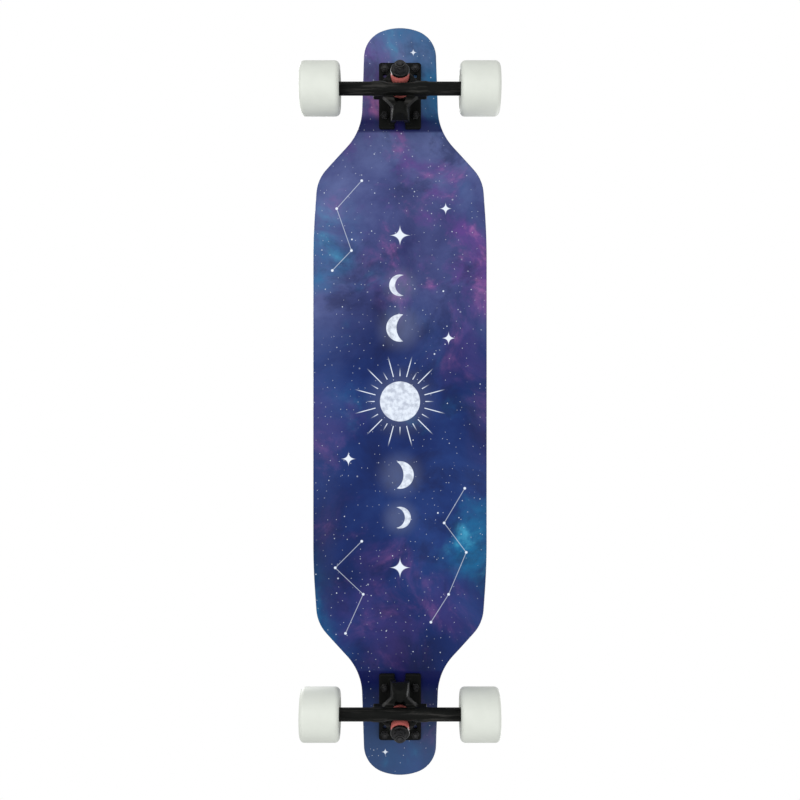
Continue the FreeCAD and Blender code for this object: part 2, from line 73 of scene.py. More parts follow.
# Three numbers that belong together, such as a place or the setting of a noise.
Three = tuple[float, float, float]


class Word(Enum):
    """A choice that the nodes' names spell in small letters."""

    @property
    def word(self) -> str:
        """Spells the choice as the nodes do."""
        return self.name.lower()


class End(Word):
    """The two ends of the board, with the side of the middle that each lies on."""

    FRONT = 1
    REAR = -1


class Side(Word):
    """The two rails of the board, with the sign of their y."""

    LEFT = 1
    RIGHT = -1


@dataclass(frozen=True)
class Paint:
    """A colour as it is seen, in steps of 0 to 255."""

    red: int
    green: int
    blue: int

    def linear(self) -> tuple[float, ...]:
        """Gives the colour as the shader's sockets take it, with full opacity."""
        shares = [step / 255 for step in (self.red, self.green, self.blue)]
        return (*(s / 12.92 if s <= 0.04045 else ((s + 0.055) / 1.055) ** 2.4 for s in shares), 1.0)


class NodeSheet:
    """A tree of shader nodes that is laid out by short calls."""

    def __init__(self, tree: bpy.types.NodeTree) -> None:
        """Starts on a tree, which is emptied."""
        self.tree = tree
        self.tree.nodes.clear()

    def put(self, socket: Socket, value: object) -> None:
        """Links a socket to another one, or sets its constant.

        Args:
            socket: Input that takes the value.
            value: An output socket, a Paint or a plain constant.
        """
        if isinstance(value, Socket):
            self.tree.links.new(value, socket)
        else:
            socket.default_value = value.linear() if isinstance(value, Paint) else value

    def add(self, kind: str, inputs: dict | None = None, **settings: object) -> bpy.types.Node:
        """Adds a node.

        Args:
            kind: Type of the node, without its common prefix.
            inputs: Values or links of its inputs, by name or place.
            settings: Plain properties of the node.

        Returns:
            The node.
        """
        node = self.tree.nodes.new("ShaderNode" + kind)
        for key, value in settings.items():
            setattr(node, key, value)
        for key, value in (inputs or {}).items():
            self.put(node.inputs[key], value)
        return node

    def maths(self, operation: str, first: object, *others: object) -> Socket:
        """Works out a sum, from left to right where it has more than two values.

        Args:
            operation: The sum's name, such as ADD.
            first: First value or link.
            others: The other values or links.

        Returns:
            The result.
        """
        for other in others or (0.0,):
            first = self.add("Math", {0: first, 1: other}, operation=operation).outputs[0]
        return first

    def times(self, *values: object) -> Socket:
        """Multiplies values."""
        return self.maths("MULTIPLY", *values)

    def plus(self, *values: object) -> Socket:
        """Adds values up."""
        return self.maths("ADD", *values)

    def most(self, *values: object) -> Socket:
        """Gives the largest of some values."""
        return self.maths("MAXIMUM", *values)

    def vector(self, operation: str, first: object, second: object = (0.0, 0.0, 0.0)) -> Socket:
        """Works out a sum of vectors.

        Args:
            operation: The sum's name, such as ADD.
            first: First vector or link.
            second: Second vector or link.

        Returns:
            The result, a plain number where the sum gives one.
        """
        node = self.add("VectorMath", {0: first, 1: second}, operation=operation)
        return node.outputs["Value" if operation in NUMBER_SUMS else "Vector"]

    def axes(self, vector: Socket) -> tuple[Socket, ...]:
        """Splits a vector into its three axes."""
        return tuple(self.add("SeparateXYZ", {0: vector}).outputs)

    def band(self, value: object, low: float, high: float, start: float = 0.0, end: float = 1.0) -> Socket:
        """Eases from start to end as a value goes from low to high.

        Args:
            value: The value.
            low: Where the change begins.
            high: Where it ends.
            start: Result below low.
            end: Result above high.

        Returns:
            The eased result.
        """
        inputs = {"Value": value, "From Min": low, "From Max": high, "To Min": start, "To Max": end}
        return self.add("MapRange", inputs, interpolation_type="SMOOTHSTEP").outputs[0]

    def mix(self, share: object, first: object, second: object) -> Socket:
        """Mixes two colours.

        Args:
            share: Weight of the second colour.
            first: First colour.
            second: Second colour.

        Returns:
            The mixed colour.
        """
        node = self.add("Mix", data_type="RGBA")
        for key, value in ((0, share), (6, first), (7, second)):
            self.put(node.inputs[key], value)
        return node.outputs[2]

    def ramp(self, value: object, stops: Sequence[tuple[float, Paint]]) -> Socket:
        """Turns a value into a colour.

        Args:
            value: The value.
            stops: Places from 0 to 1 with their colours.

        Returns:
            The colour.
        """
        node = self.add("ValToRGB", {0: value})
        row = node.color_ramp.elements
        while len(row) < len(stops):
            row.new(1.0)
        for element, (place, paint) in zip(row, stops):
            element.position = place
            element.color = paint.linear()
        return node.outputs[0]


class MaterialSheet(NodeSheet):
    """The nodes of a material with one surface shader."""

    def __init__(self, name: str) -> None:
        """Starts a material.

        Args:
            name: Name of the material.
        """
        self.material = bpy.data.materials.new(name)
        self.material.use_nodes = True
        super().__init__(self.material.node_tree)
        self.shader = self.add("BsdfPrincipled")
        self.output = self.add("OutputMaterial", {"Surface": self.shader.outputs["BSDF"]})
        self.place = self.add("TexCoord").outputs["Object"]

    def surface(self, **inputs: object) -> None:
        """Sets the inputs of the surface shader, with _ in their names for a space."""
        for key, value in inputs.items():
            self.put(self.shader.inputs[key.replace("_", " ")], value)

    def noise(self, scale: float, detail: float = 3.0, roughness: float = 0.5, place: object = None,
              seed: float = 0.0) -> Socket:
        """Cloudy noise over the board.

        Args:
            scale: Clouds to the metre.
            detail: Finer layers that are added.
            roughness: Weight of the finer layers.
            place: Position to read, the board's own if left out.
            seed: Fourth coordinate, which picks another cloud.

        Returns:
            A value about one half.
        """
        inputs = {"Vector": place or self.place, "W": seed, "Scale": scale, "Detail": detail,
                  "Roughness": roughness}
        return self.add("TexNoise", inputs, noise_dimensions="4D").outputs[0]

    def grain(self, scales: Three) -> Socket:
        """Noise that is drawn out, by its scale to the metre along each axis."""
        drawn = self.add("Mapping", {"Vector": self.place, "Scale": scales}).outputs[0]
        return self.noise(1.0, 4.0, 0.6, drawn)

    def uneven(self, noise: Socket, low: float, high: float) -> Socket:
        """Lets a value wander between two levels with a noise."""
        return self.band(noise, 0.3, 0.7, low, high)

    def edges(self, low: float, high: float) -> Socket:
        """Gives the share of edges that stand out, between two levels of pointedness."""
        return self.band(self.add("NewGeometry").outputs["Pointiness"], low, high)

    def relief(self, height: Socket, depth: float, strength: float) -> None:
        """Lays a fine relief on the surface.

        Args:
            height: Height from 0 to 1.
            depth: Depth of the relief, in metres.
            strength: Weight of the relief.
        """
        inputs = {"Height": height, "Distance": depth, "Strength": strength}
        self.surface(Normal=self.add("Bump", inputs).outputs[0])


class Finish:
    """A finish of the object, made into a material once."""

    def lay_out(self, nodes: MaterialSheet) -> None:
        """Lays out the finish on a new material's sheet.

        Args:
            nodes: Sheet of the new material.
        """
        raise NotImplementedError

    def material(self) -> bpy.types.Material:
        """Gives the finish's material, made on its first use."""
        name = type(self).__name__
        if name not in bpy.data.materials:
            self.lay_out(MaterialSheet(name))
        return bpy.data.materials[name]


@dataclass(frozen=True)
class Cloud:
    """A cloud of the print: noise with its scale, fineness and seed, and the levels of its fade."""

    scale: float
    detail: float
    roughness: float
    seed: float
    low: float
    high: float

    def share(self, nodes: MaterialSheet, place: Socket) -> Socket:
        """Gives the cloud's share at a place."""
        noise = nodes.noise(self.scale, self.detail, self.roughness, place, self.seed)
        return nodes.band(noise, self.low, self.high)


@dataclass(frozen=True)
class MoonPhase:
    """One moon of the printed column: its place along the board, its size and how its shadow is set."""

    place: float
    radius: float
    shadow_shift: float
    shadow_radius: float


@dataclass(frozen=True)
class PrintedUnderside(Finish):
    """Lacquered night-sky print: haze that darkens to the tail, clouds, stars, moons and star charts."""

    dusk: tuple[tuple[float, Paint], ...] = (
        (0.32, Paint(36, 40, 90)), (0.48, Paint(63, 71, 121)), (0.68, Paint(97, 109, 158)))
    night: tuple[tuple[float, Paint], ...] = (
        (0.32, Paint(11, 19, 60)), (0.5, Paint(19, 39, 94)), (0.7, Paint(34, 60, 119)))
    lane: Paint = Paint(18, 24, 64)
    # Painted shade: the dark band laid across the deck at each bend.
    bend: Paint = Paint(10, 17, 74)
    # Lighter haze at the nose and tail: partly the print's own tone, partly painted reflection.
    dawn: Paint = Paint(86, 118, 156)
    violet: Paint = Paint(92, 62, 132)
    rose: Paint = Paint(172, 108, 166)
    teal: Paint = Paint(18, 104, 150)
    cyan: Paint = Paint(72, 170, 204)
    star: Paint = Paint(226, 234, 246)
    moon: Paint = Paint(222, 230, 242)
    drift_scale: float = 5.0
    drift: Three = (0.13, 0.13, 0.0)
    haze_noise: Three = (6.5, 9.0, 0.6)
    fringe_noise: Three = (4.0, 6.0, 0.6)
    fringe_seed: float = 2.2
    fringe: float = 0.34
    nightfall: Fade = (0.34, 0.2)
    # Where the lighter haze fades in at the nose and at the tail, partly print and partly painted reflection.
    nose_dawn: Fade = (0.35, 0.47, 0.0, 0.5)
    tail_dawn: Fade = (-0.38, -0.47, 0.0, 0.3)
    wave_slant: float = 1.6
    wave_turn: float = 5.6
    violet_wave: Fade = (0.35, 0.95)
    violet_at_night: Fade = (0.0, 1.0, 0.95, 0.22)
    teal_wave: Fade = (0.9, 0.3, 0.0, 0.9)
    violet_cloud: Cloud = Cloud(9.0, 10.0, 0.64, 3.7, 0.46, 0.62)
    rose_core: Cloud = Cloud(21.0, 9.0, 0.62, 9.1, 0.48, 0.66)
    teal_cloud: Cloud = Cloud(4.6, 8.0, 0.58, 5.3, 0.48, 0.62)
    cyan_core: Cloud = Cloud(24.0, 9.0, 0.6, 7.7, 0.52, 0.7)
    lanes: Cloud = Cloud(13.0, 10.0, 0.68, 1.9, 0.48, 0.34)
    lane_share: float = 0.5
    # Place, width and darkness of the painted shade band at each bend.
    bend_start: float = 0.364
    bend_width: float = 0.03
    bend_share: float = 0.85
    soft_edge: float = 0.0006
    hairline: float = 0.0005
    ray_fade: Fade = (1.7, 0.6)
    line_fade: Fade = (1.4, 0.4)
    dot_fade: Fade = (4.4, 2.6)
    line_light: float = 0.5
    craters: Fade = (0.36, 0.6, 0.62, 1.0)
    glow_reach: Fade = (2.1, 0.4)
    glow: float = 0.07
    sparkle_core: float = 0.86
    rays: int = 24
    ray_start: float = 0.0345
    ray_short: float = 0.013
    ray_extra: float = 0.017
    star_sizes: tuple[Three, ...] = ((0.010, 0.0006, 0.5), (0.026, 0.0010, 0.45), (0.075, 0.0016, 0.6))
    moons: tuple[MoonPhase, ...] = (
        MoonPhase(0.158, 0.0150, 0.0075, 0.0138), MoonPhase(0.100, 0.0190, 0.0180, 0.0225),
        MoonPhase(0.0, 0.0275, 0.0900, 0.0100),
        MoonPhase(-0.100, 0.0190, -0.0180, 0.0225), MoonPhase(-0.158, 0.0150, -0.0075, 0.0138))
    sparkles: tuple[Three, ...] = (
        (0.226, 0.0, 0.017), (-0.226, 0.0, 0.017), (0.086, 0.066, 0.011), (-0.078, -0.070, 0.012),
        (0.262, 0.062, 0.010), (0.474, 0.018, 0.006), (-0.476, -0.020, 0.006))
    charts: tuple[tuple[tuple[float, float], ...], ...] = (
        ((-0.118, 0.088), (-0.165, 0.060), (-0.205, 0.090), (-0.262, 0.066), (-0.300, 0.042)),
        ((-0.190, -0.052), (-0.226, -0.088), (-0.262, -0.050), (-0.315, -0.074)),
        ((0.300, -0.052), (0.262, -0.086), (0.205, -0.066), (0.178, -0.092)))

    def lay_out(self, nodes: MaterialSheet) -> None:
        """Lays out the print under its lacquer.

        Args:
            nodes: Sheet of the new material.
        """
        colour = nodes.mix(self.stars(nodes), self.sky(nodes), self.star)
        motifs = (self.moon_column, self.moon_rays, self.sparkle_field, self.star_charts)
        light = nodes.most(0.0, *(motif(nodes) for motif in motifs))
        colour = nodes.mix(light, colour, self.moon)
        dust = nodes.noise(900.0, 2.0)
        nodes.surface(Base_Color=colour, Roughness=nodes.uneven(dust, 0.36, 0.44), Coat_Weight=0.08,
                      Coat_Roughness=0.18, Specular_IOR_Level=0.06)
        nodes.relief(nodes.noise(36.0, 2.0), 0.00008, 0.3)

    def sky(self, nodes: MaterialSheet) -> Socket:
        """Blue haze with violet and teal clouds and dark lanes, a lighter haze at the nose and tail that is partly
        print and partly painted reflection, and a band of painted shade at each bend of the deck.

        Args:
            nodes: Sheet that takes the nodes.

        Returns:
            The colour of the sky.
        """
        drift = nodes.add("TexNoise", {"Vector": nodes.place, "Scale": self.drift_scale, "Detail": 2.0})
        shift = nodes.vector("MULTIPLY", drift.outputs["Color"], self.drift)
        place = nodes.vector("ADD", nodes.place, shift)
        along, across, _ = nodes.axes(nodes.place)
        haze = nodes.noise(*self.haze_noise, place)
        fringe = nodes.times(nodes.noise(*self.fringe_noise, place, self.fringe_seed), self.fringe)
        dark = nodes.band(nodes.plus(along, fringe), *self.nightfall)
        colour = nodes.mix(dark, nodes.ramp(haze, self.dusk), nodes.ramp(haze, self.night))
        # Lighter haze at each tip: partly print, partly painted reflection.
        for fade in (self.nose_dawn, self.tail_dawn):
            colour = nodes.mix(nodes.band(along, *fade), colour, self.dawn)
        slope = nodes.times(nodes.plus(along, nodes.times(across, self.wave_slant)), self.wave_turn)
        wave = nodes.maths("ABSOLUTE", nodes.maths("SINE", slope))
        violet = nodes.times(self.violet_cloud.share(nodes, place), nodes.band(wave, *self.violet_wave),
                             nodes.band(dark, *self.violet_at_night))
        teal = nodes.times(self.teal_cloud.share(nodes, place), nodes.band(wave, *self.teal_wave))
        for cloud, paint, core, core_paint in ((violet, self.violet, self.rose_core, self.rose),
                                               (teal, self.teal, self.cyan_core, self.cyan)):
            colour = nodes.mix(cloud, colour, paint)
            colour = nodes.mix(nodes.times(core.share(nodes, place), cloud), colour, core_paint)
        lanes = nodes.times(self.lanes.share(nodes, place), self.lane_share)
        colour = nodes.mix(lanes, colour, self.lane)
        # Painted shade: a dark band across the deck at each bend.
        reach = nodes.maths("ABSOLUTE", along)
        start, width = self.bend_start, self.bend_width
        inside = nodes.band(reach, start, start + width / 8)
        outside = nodes.band(reach, start + width, start + width / 2)
        return nodes.mix(nodes.times(inside, outside, self.bend_share), colour, self.bend)

    def stars(self, nodes: MaterialSheet) -> Socket:
        """Stars of several sizes, thinned out by chance.

        Args:
            nodes: Sheet that takes the nodes.

        Returns:
            The share of star light.
        """
        light: object = 0.0
        for spacing, radius, kept in self.star_sizes:
            cells = nodes.add("TexVoronoi", {"Vector": nodes.place, "Scale": 1 / spacing},
                              voronoi_dimensions="2D")
            chance = nodes.axes(cells.outputs["Color"])[0]
            point = nodes.band(cells.outputs["Distance"], radius / spacing, radius / spacing / 4)
            light = nodes.most(light, nodes.times(point, nodes.band(chance, 1 - kept, 1.0)))
        return light

    def away(self, nodes: MaterialSheet, along: float, across: float) -> Socket:
        """Gives the distance over the board's face from a point of it."""
        return nodes.vector("DISTANCE", nodes.vector("MULTIPLY", nodes.place, FLAT), (along, across, 0.0))

    def stroke(self, nodes: MaterialSheet, gap: Socket, fade: Fade, light: float = 1.0) -> Socket:
        """Gives the light of a stroke at a distance from its middle, with its fade in hairlines."""
        return nodes.band(gap, self.hairline * fade[0], self.hairline * fade[1], 0.0, light)

    def moon_column(self, nodes: MaterialSheet) -> Socket:
        """The phases of a moon in a column along the board, each with a faint glow.

        Args:
            nodes: Sheet that takes the nodes.

        Returns:
            The share of moon light.
        """
        craters = nodes.band(nodes.noise(120.0, 6.0, 0.6), *self.craters)
        light: object = 0.0
        for moon in self.moons:
            away = self.away(nodes, moon.place, 0.0)
            shade = self.away(nodes, moon.place, moon.shadow_shift)
            lit = nodes.band(away, moon.radius, moon.radius - self.soft_edge)
            cover = nodes.band(shade, moon.shadow_radius, moon.shadow_radius + self.soft_edge)
            far, near = (moon.radius * share for share in self.glow_reach)
            glow = nodes.band(away, far, near, 0.0, self.glow)
            light = nodes.most(light, nodes.times(lit, cover, craters), glow)
        return light

    def moon_rays(self, nodes: MaterialSheet) -> Socket:
        """Fine rays about the middle moon, short and long by turns.

        Args:
            nodes: Sheet that takes the nodes.

        Returns:
            The share of ray light.
        """
        along, across, _ = nodes.axes(nodes.place)
        away = self.away(nodes, 0.0, 0.0)
        step = 2 * math.pi / self.rays
        turn = nodes.maths("DIVIDE", nodes.maths("ARCTAN2", across, along), step)
        count = nodes.plus(turn, self.rays + 0.5)
        off = nodes.maths("ABSOLUTE", nodes.maths("SUBTRACT", nodes.maths("FRACT", count), 0.5))
        longer = nodes.times(nodes.maths("MODULO", nodes.maths("FLOOR", count), 2.0), self.ray_extra)
        left = nodes.maths("SUBTRACT", nodes.plus(longer, self.ray_start + self.ray_short), away)
        light = self.stroke(nodes, nodes.times(off, step, away), self.ray_fade)
        return nodes.times(light, nodes.band(left, 0.0, self.ray_short),
                           nodes.maths("GREATER_THAN", away, self.ray_start))

    def star_charts(self, nodes: MaterialSheet) -> Socket:
        """Small stars joined by hairlines.

        Args:
            nodes: Sheet that takes the nodes.

        Returns:
            The share of chart light.
        """
        light: object = 0.0
        flat = nodes.vector("MULTIPLY", nodes.place, FLAT)
        for chart in self.charts:
            for first, last in zip(chart, chart[1:]):
                start = Vector((*first, 0.0))
                run = Vector((*last, 0.0)) - start
                offset = nodes.vector("SUBTRACT", flat, start)
                share = nodes.vector("DOT_PRODUCT", offset, run / run.length_squared)
                share = nodes.maths("MINIMUM", nodes.most(share, 0.0), 1.0)
                gap = nodes.vector("DISTANCE", offset, nodes.vector("MULTIPLY", run, share))
                light = nodes.most(light, self.stroke(nodes, gap, self.line_fade, self.line_light))
            for spot in chart:
                light = nodes.most(light, self.stroke(nodes, self.away(nodes, *spot), self.dot_fade))
        return light

    def sparkle_field(self, nodes: MaterialSheet) -> Socket:
        """Four-pointed sparkles of several sizes.

        Args:
            nodes: Sheet that takes the nodes.

        Returns:
            The share of sparkle light.
        """
        light: object = 0.0
        for along, across, size in self.sparkles:
            offset = nodes.vector("SUBTRACT", nodes.place, (along, across, 0.0))
            x, y, _ = nodes.axes(nodes.vector("ABSOLUTE", offset))
            arms = nodes.plus(nodes.maths("POWER", x, 0.5), nodes.maths("POWER", y, 0.5))
            tip = math.sqrt(size)
            light = nodes.most(light, nodes.band(arms, tip, tip * self.sparkle_core))
        return light


@dataclass(frozen=True)
class MaplePlies(Finish):
    """Sanded edge of the pressed maple, with its plies and glue lines."""

    light: Paint = Paint(226, 200, 162)
    dark: Paint = Paint(196, 160, 118)
    glue: Paint = Paint(128, 94, 64)
    plies: float = 8.0
    grain: Three = (60.0, 60.0, 900.0)
    turn_tone: float = 0.45
    grain_tone: float = 0.6
    glue_tone: float = 0.55

    def lay_out(self, nodes: MaterialSheet) -> None:
        """Lays out the plies by the height through the deck that the mesh carries.

        Args:
            nodes: Sheet of the new material.
        """
        height = nodes.add("Attribute", attribute_name=DeckSlab.HEIGHT).outputs["Fac"]
        ply = nodes.times(height, self.plies)
        turn = nodes.maths("MODULO", nodes.maths("FLOOR", ply), 2.0)
        off = nodes.maths("ABSOLUTE", nodes.maths("SUBTRACT", nodes.maths("FRACT", ply), 0.5))
        grain = nodes.grain(self.grain)
        tone = nodes.plus(nodes.times(turn, self.turn_tone), nodes.times(grain, self.grain_tone))
        colour = nodes.mix(tone, self.light, self.dark)
        colour = nodes.mix(nodes.times(nodes.band(off, 0.4, 0.49), self.glue_tone), colour, self.glue)
        nodes.surface(Base_Color=colour, Roughness=nodes.uneven(grain, 0.42, 0.58), Specular_IOR_Level=0.35)
        nodes.relief(grain, 0.00006, 0.5)


@dataclass(frozen=True)
class GripGrit(Finish):
    """Black grit on a backing, with painted glints on a few sharp grains."""

    dark: Paint = Paint(8, 8, 11)
    light: Paint = Paint(58, 58, 64)
    # Painted glint on a few grains.
    spark: Paint = Paint(104, 105, 112)
    grain: float = 0.0007
    clump: float = 0.0022
    sparks: Fade = (0.95, 0.99)
    grain_tone: float = 0.35
    worn_tone: float = 0.3
    clump_tone: float = 0.45

    def lay_out(self, nodes: MaterialSheet) -> None:
        """Lays out grains in clumps, painted glints and worn patches.

        Args:
            nodes: Sheet of the new material.
        """
        cells = nodes.add("TexVoronoi", {"Vector": nodes.place, "Scale": 1 / self.grain})
        chance, facet, _ = nodes.axes(cells.outputs["Color"])
        worn = nodes.times(nodes.noise(7.0, 5.0, 0.6), self.worn_tone)
        clumps = nodes.band(nodes.noise(1 / self.clump, 2.0, 0.6), 0.36, 0.64, 0.0, self.clump_tone)
        tone = nodes.plus(nodes.times(chance, self.grain_tone), worn, clumps)
        colour = nodes.mix(tone, self.dark, self.light)
        # Painted glints: a few grains lit up in colour.
        colour = nodes.mix(nodes.band(facet, *self.sparks), colour, self.spark)
        nodes.surface(Base_Color=colour, Roughness=nodes.band(facet, 0.0, 1.0, 0.62, 0.95),
                      Specular_IOR_Level=0.12)
        nodes.relief(nodes.maths("SUBTRACT", 1.0, cells.outputs["Distance"]), 0.0003, 0.8)


@dataclass(frozen=True)
class CastBlack(Finish):
    """Satin black powder coat over a casting, rubbed a little where it stands out."""

    coat: Paint = Paint(13, 14, 13)
    rubbed: Paint = Paint(26, 26, 26)
    # Light streaks: handling wear that also stands in for the bar's highlights, as painted highlight.
    handled: Paint = Paint(64, 63, 61)
    marks: float = 0.0
    mark_grain: Three = (150.0, 14.0, 150.0)

    def lay_out(self, nodes: MaterialSheet) -> None:
        """Lays out the coat's orange peel, its rubbed edges and light streaks along it, which are partly handling
        wear and partly painted highlight.

        Args:
            nodes: Sheet of the new material.
        """
        cloud = nodes.noise(60.0, 4.0, 0.6)
        rub = nodes.times(nodes.edges(0.53, 0.6), nodes.band(cloud, 0.4, 0.62))
        # Streaks along the casting: partly handling wear, partly painted highlight.
        marks = nodes.band(nodes.grain(self.mark_grain), 0.48, 0.66, 0.0, self.marks)
        colour = nodes.mix(marks, nodes.mix(rub, self.coat, self.rubbed), self.handled)
        nodes.surface(Base_Color=colour, Roughness=nodes.uneven(cloud, 0.5, 0.6), Specular_IOR_Level=0.06)
        nodes.relief(nodes.noise(520.0, 2.0, 0.4), 0.00006, 0.4)


@dataclass(frozen=True)
class HangerBlack(CastBlack):
    """The same coat on a hanger, with light streaks along its bar that are partly handling wear and partly painted
    highlight.
    """

    marks: float = 0.6


@dataclass(frozen=True)
class Urethane(Finish):
    """Cast urethane with faint clouding and a satin skin."""

    clear: Paint
    cloudy: Paint
    roughness: float
    shine: float = 0.4

    def lay_out(self, nodes: MaterialSheet) -> None:
        """Lays out the clouding and the fine scuffs.

        Args:
            nodes: Sheet of the new material.
        """
        cloud = nodes.band(nodes.noise(38.0, 4.0, 0.55), 0.35, 0.65)
        scuffs = nodes.noise(420.0, 3.0, 0.7)
        nodes.surface(Base_Color=nodes.mix(cloud, self.clear, self.cloudy), Specular_IOR_Level=self.shine,
                      Roughness=nodes.uneven(scuffs, self.roughness - 0.06, self.roughness + 0.08))
        nodes.relief(scuffs, 0.00003, 0.3)


@dataclass(frozen=True)
class WheelUrethane(Urethane):
    """White urethane of the wheels."""

    clear: Paint = Paint(212, 216, 208)
    cloudy: Paint = Paint(208, 212, 204)
    roughness: float = 0.46


@dataclass(frozen=True)
class CoralUrethane(Urethane):
    """Coral urethane of the bushings and cups."""

    clear: Paint = Paint(196, 108, 102)
    cloudy: Paint = Paint(184, 96, 92)
    roughness: float = 0.42
    shine: float = 0.12


@dataclass(frozen=True)
class SealRubber(Urethane):
    """Black rubber of the bearing seals and the nut inserts."""

    clear: Paint = Paint(26, 26, 28)
    cloudy: Paint = Paint(34, 34, 36)
    roughness: float = 0.55


@dataclass(frozen=True)
class Steel(Finish):
    """Steel with its own tint, fine scratches and worn edges."""

    tint: Paint
    worn: Paint
    metal: float
    roughness: float
    shine: float = 0.3

    def lay_out(self, nodes: MaterialSheet) -> None:
        """Lays out scratches, clouding and wear.

        Args:
            nodes: Sheet of the new material.
        """
        cloud = nodes.noise(160.0, 4.0, 0.6)
        wear = nodes.times(nodes.edges(0.52, 0.58), nodes.band(cloud, 0.3, 0.6))
        nodes.surface(Base_Color=nodes.mix(wear, self.tint, self.worn), Metallic=self.metal,
                      Roughness=nodes.uneven(cloud, self.roughness - 0.06, self.roughness + 0.1),
                      Specular_IOR_Level=self.shine)
        nodes.relief(nodes.noise(1400.0, 2.0, 0.6), 0.00002, 0.35)


@dataclass(frozen=True)
class BlackSteel(Steel):
    """Black oxide of bolts, nuts and washers."""

    tint: Paint = Paint(9, 9, 10)
    worn: Paint = Paint(50, 50, 52)
    metal: float = 0.1
    roughness: float = 0.26
    shine: float = 0.17


@dataclass(frozen=True)
class RubbedSteel(Steel):
    """Grey steel of bolt heads that boots have rubbed."""

    tint: Paint = Paint(104, 105, 108)
    worn: Paint = Paint(150, 151, 154)
    metal: float = 0.8
    roughness: float = 0.36


@dataclass(frozen=True)
class ZincSteel(Steel):
    """Zinc plate of axles and axle nuts."""

    tint: Paint = Paint(176, 178, 182)
    worn: Paint = Paint(208, 210, 212)
    metal: float = 1.0
    roughness: float = 0.32


@dataclass(frozen=True)
class GroundSteel(Steel):
    """Ground rings of the bearings."""

    tint: Paint = Paint(196, 198, 202)
    worn: Paint = Paint(214, 216, 218)
    metal: float = 1.0
    roughness: float = 0.2


@dataclass(frozen=True)
class Corner:
    """A corner of a turned profile: radius, height along the axis, easing and the skin that follows it."""

    radius: float
    height: float
    ease: float = 0.0
    skin: int = 0

    def point(self) -> Vector:
        """Gives the corner in the plane of the profile."""
        return Vector((self.radius, self.height))

    def flipped(self, skin: int = 0) -> "Corner":
        """Gives the like corner on the other side of the middle."""
        return replace(self, height=-self.height, skin=skin)


def fillet(before: Vector, here: Vector, after: Vector, radius: float) -> tuple[Vector, Vector, Vector]:
    """Fits an arc into a corner.

    Args:
        before: The corner before it.
        here: The corner.
        after: The corner after it.
        radius: Radius of the arc.

    Returns:
        Where the arc starts, where it ends, and its middle.
    """
    back = (before - here).normalized()
    ahead = (after - here).normalized()
    half_turn = (math.pi - back.angle(ahead)) / 2
    run = radius * math.tan(half_turn)
    middle = here + (back + ahead).normalized() * (radius / math.cos(half_turn))
    return here + back * run, here + ahead * run, middle


def bridge(shape: Shape, rings: Sequence[Sequence[bmesh.types.BMVert]], skins: Sequence[int]) -> None:
    """Joins each ring of points to the next one by faces.

    Args:
        shape: Shape that takes the faces.
        rings: Rings of points in order, where a single point is a tip.
        skins: Skin that follows each ring.
    """
    for low, high, skin in zip(rings, rings[1:], skins):
        count = max(len(low), len(high))
        for step in range(count):
            after = (step + 1) % count
            loop = [ring[place % len(ring)]
                    for ring, place in ((low, step), (low, after), (high, after), (high, step))]
            corners = list(dict.fromkeys(loop))
            if len(corners) > 2:
                shape.faces.new(corners).material_index = skin


@dataclass(frozen=True)
class Turning:
    """Solids turned from one profile: its corners, whether they close a loop, and how finely it is made."""

    corners: Sequence[Corner]
    closed: bool = True
    segments: int = 96
    arc_steps: int = 5
    bend: Callable[[float, Corner], tuple[float, float]] | None = None

    def profile(self) -> list[Corner]:
        """Gives the profile with each eased corner as an arc."""
        rounded: list[Corner] = []
        count = len(self.corners)
        for index, corner in enumerate(self.corners):
            at_end = not self.closed and index in (0, count - 1)
            if at_end or corner.ease <= 0:
                rounded.append(corner)
                continue
            before, after = self.corners[index - 1], self.corners[(index + 1) % count]
            start, end, middle = fillet(before.point(), corner.point(), after.point(), corner.ease)
            first, last = start - middle, end - middle
            for step in range(self.arc_steps + 1):
                spoke = first.slerp(last, step / self.arc_steps) * first.length + middle
                skin = corner.skin if step == self.arc_steps else before.skin
                rounded.append(Corner(spoke.x, spoke.y, 0.0, skin))
        return rounded

    def add(self, shape: Shape, places: Sequence[Matrix]) -> Shape:
        """Adds a solid at each of some places to a shape.

        Args:
            shape: Shape that takes the solids.
            places: Place of each solid.

        Returns:
            The shape.
        """
        profile = self.profile()
        for place in places:
            rings = []
            for corner in profile:
                ring = []
                for step in range(self.segments if corner.radius > 0 else 1):
                    angle = 2 * math.pi * step / self.segments
                    radius, height = self.bend(angle, corner) if self.bend else corner.point()
                    spot = Vector((radius * math.cos(angle), radius * math.sin(angle), height))
                    ring.append(shape.verts.new(place @ spot))
                rings.append(ring)
            bridge(shape, rings + rings[:1] if self.closed else rings, [corner.skin for corner in profile])
        return shape

    def piece(self, name: str, places: Sequence[Matrix], finishes: Sequence[Finish],
              sharp: float = SHARP) -> Piece:
        """Makes a piece with a solid at each of some places."""
        return new_piece(name, self.add(bmesh.new(), places), finishes, sharp)


def threaded(radius: float, start: float, end: float, pitch: float, depth: float) -> list[Corner]:
    """Profile of a thread's crests and roots along a bar.

    Args:
        radius: Radius of the crests.
        start: Height where the thread starts.
        end: Height where it ends.
        pitch: Step from crest to crest.
        depth: Depth of a root.

    Returns:
        The corners from start to end.
    """
    count = max(1, round(abs(end - start) / pitch))
    turn = ((0.1, depth), (0.35, 0.0), (0.65, 0.0), (0.9, depth))
    return [Corner(radius - root, start + (end - start) * (step + part) / count)
            for step in range(count) for part, root in turn]


def standing(origin: Vector, axis: Vector) -> Matrix:
    """Gives the place of a piece from its origin and the direction of its own z axis."""
    return Matrix.Translation(origin) @ axis.to_track_quat("Z", "Y").to_matrix().to_4x4()


def raised(place: Matrix, height: float) -> Matrix:
    """Gives a place moved along its own z axis."""
    return place @ Matrix.Translation((0.0, 0.0, height))


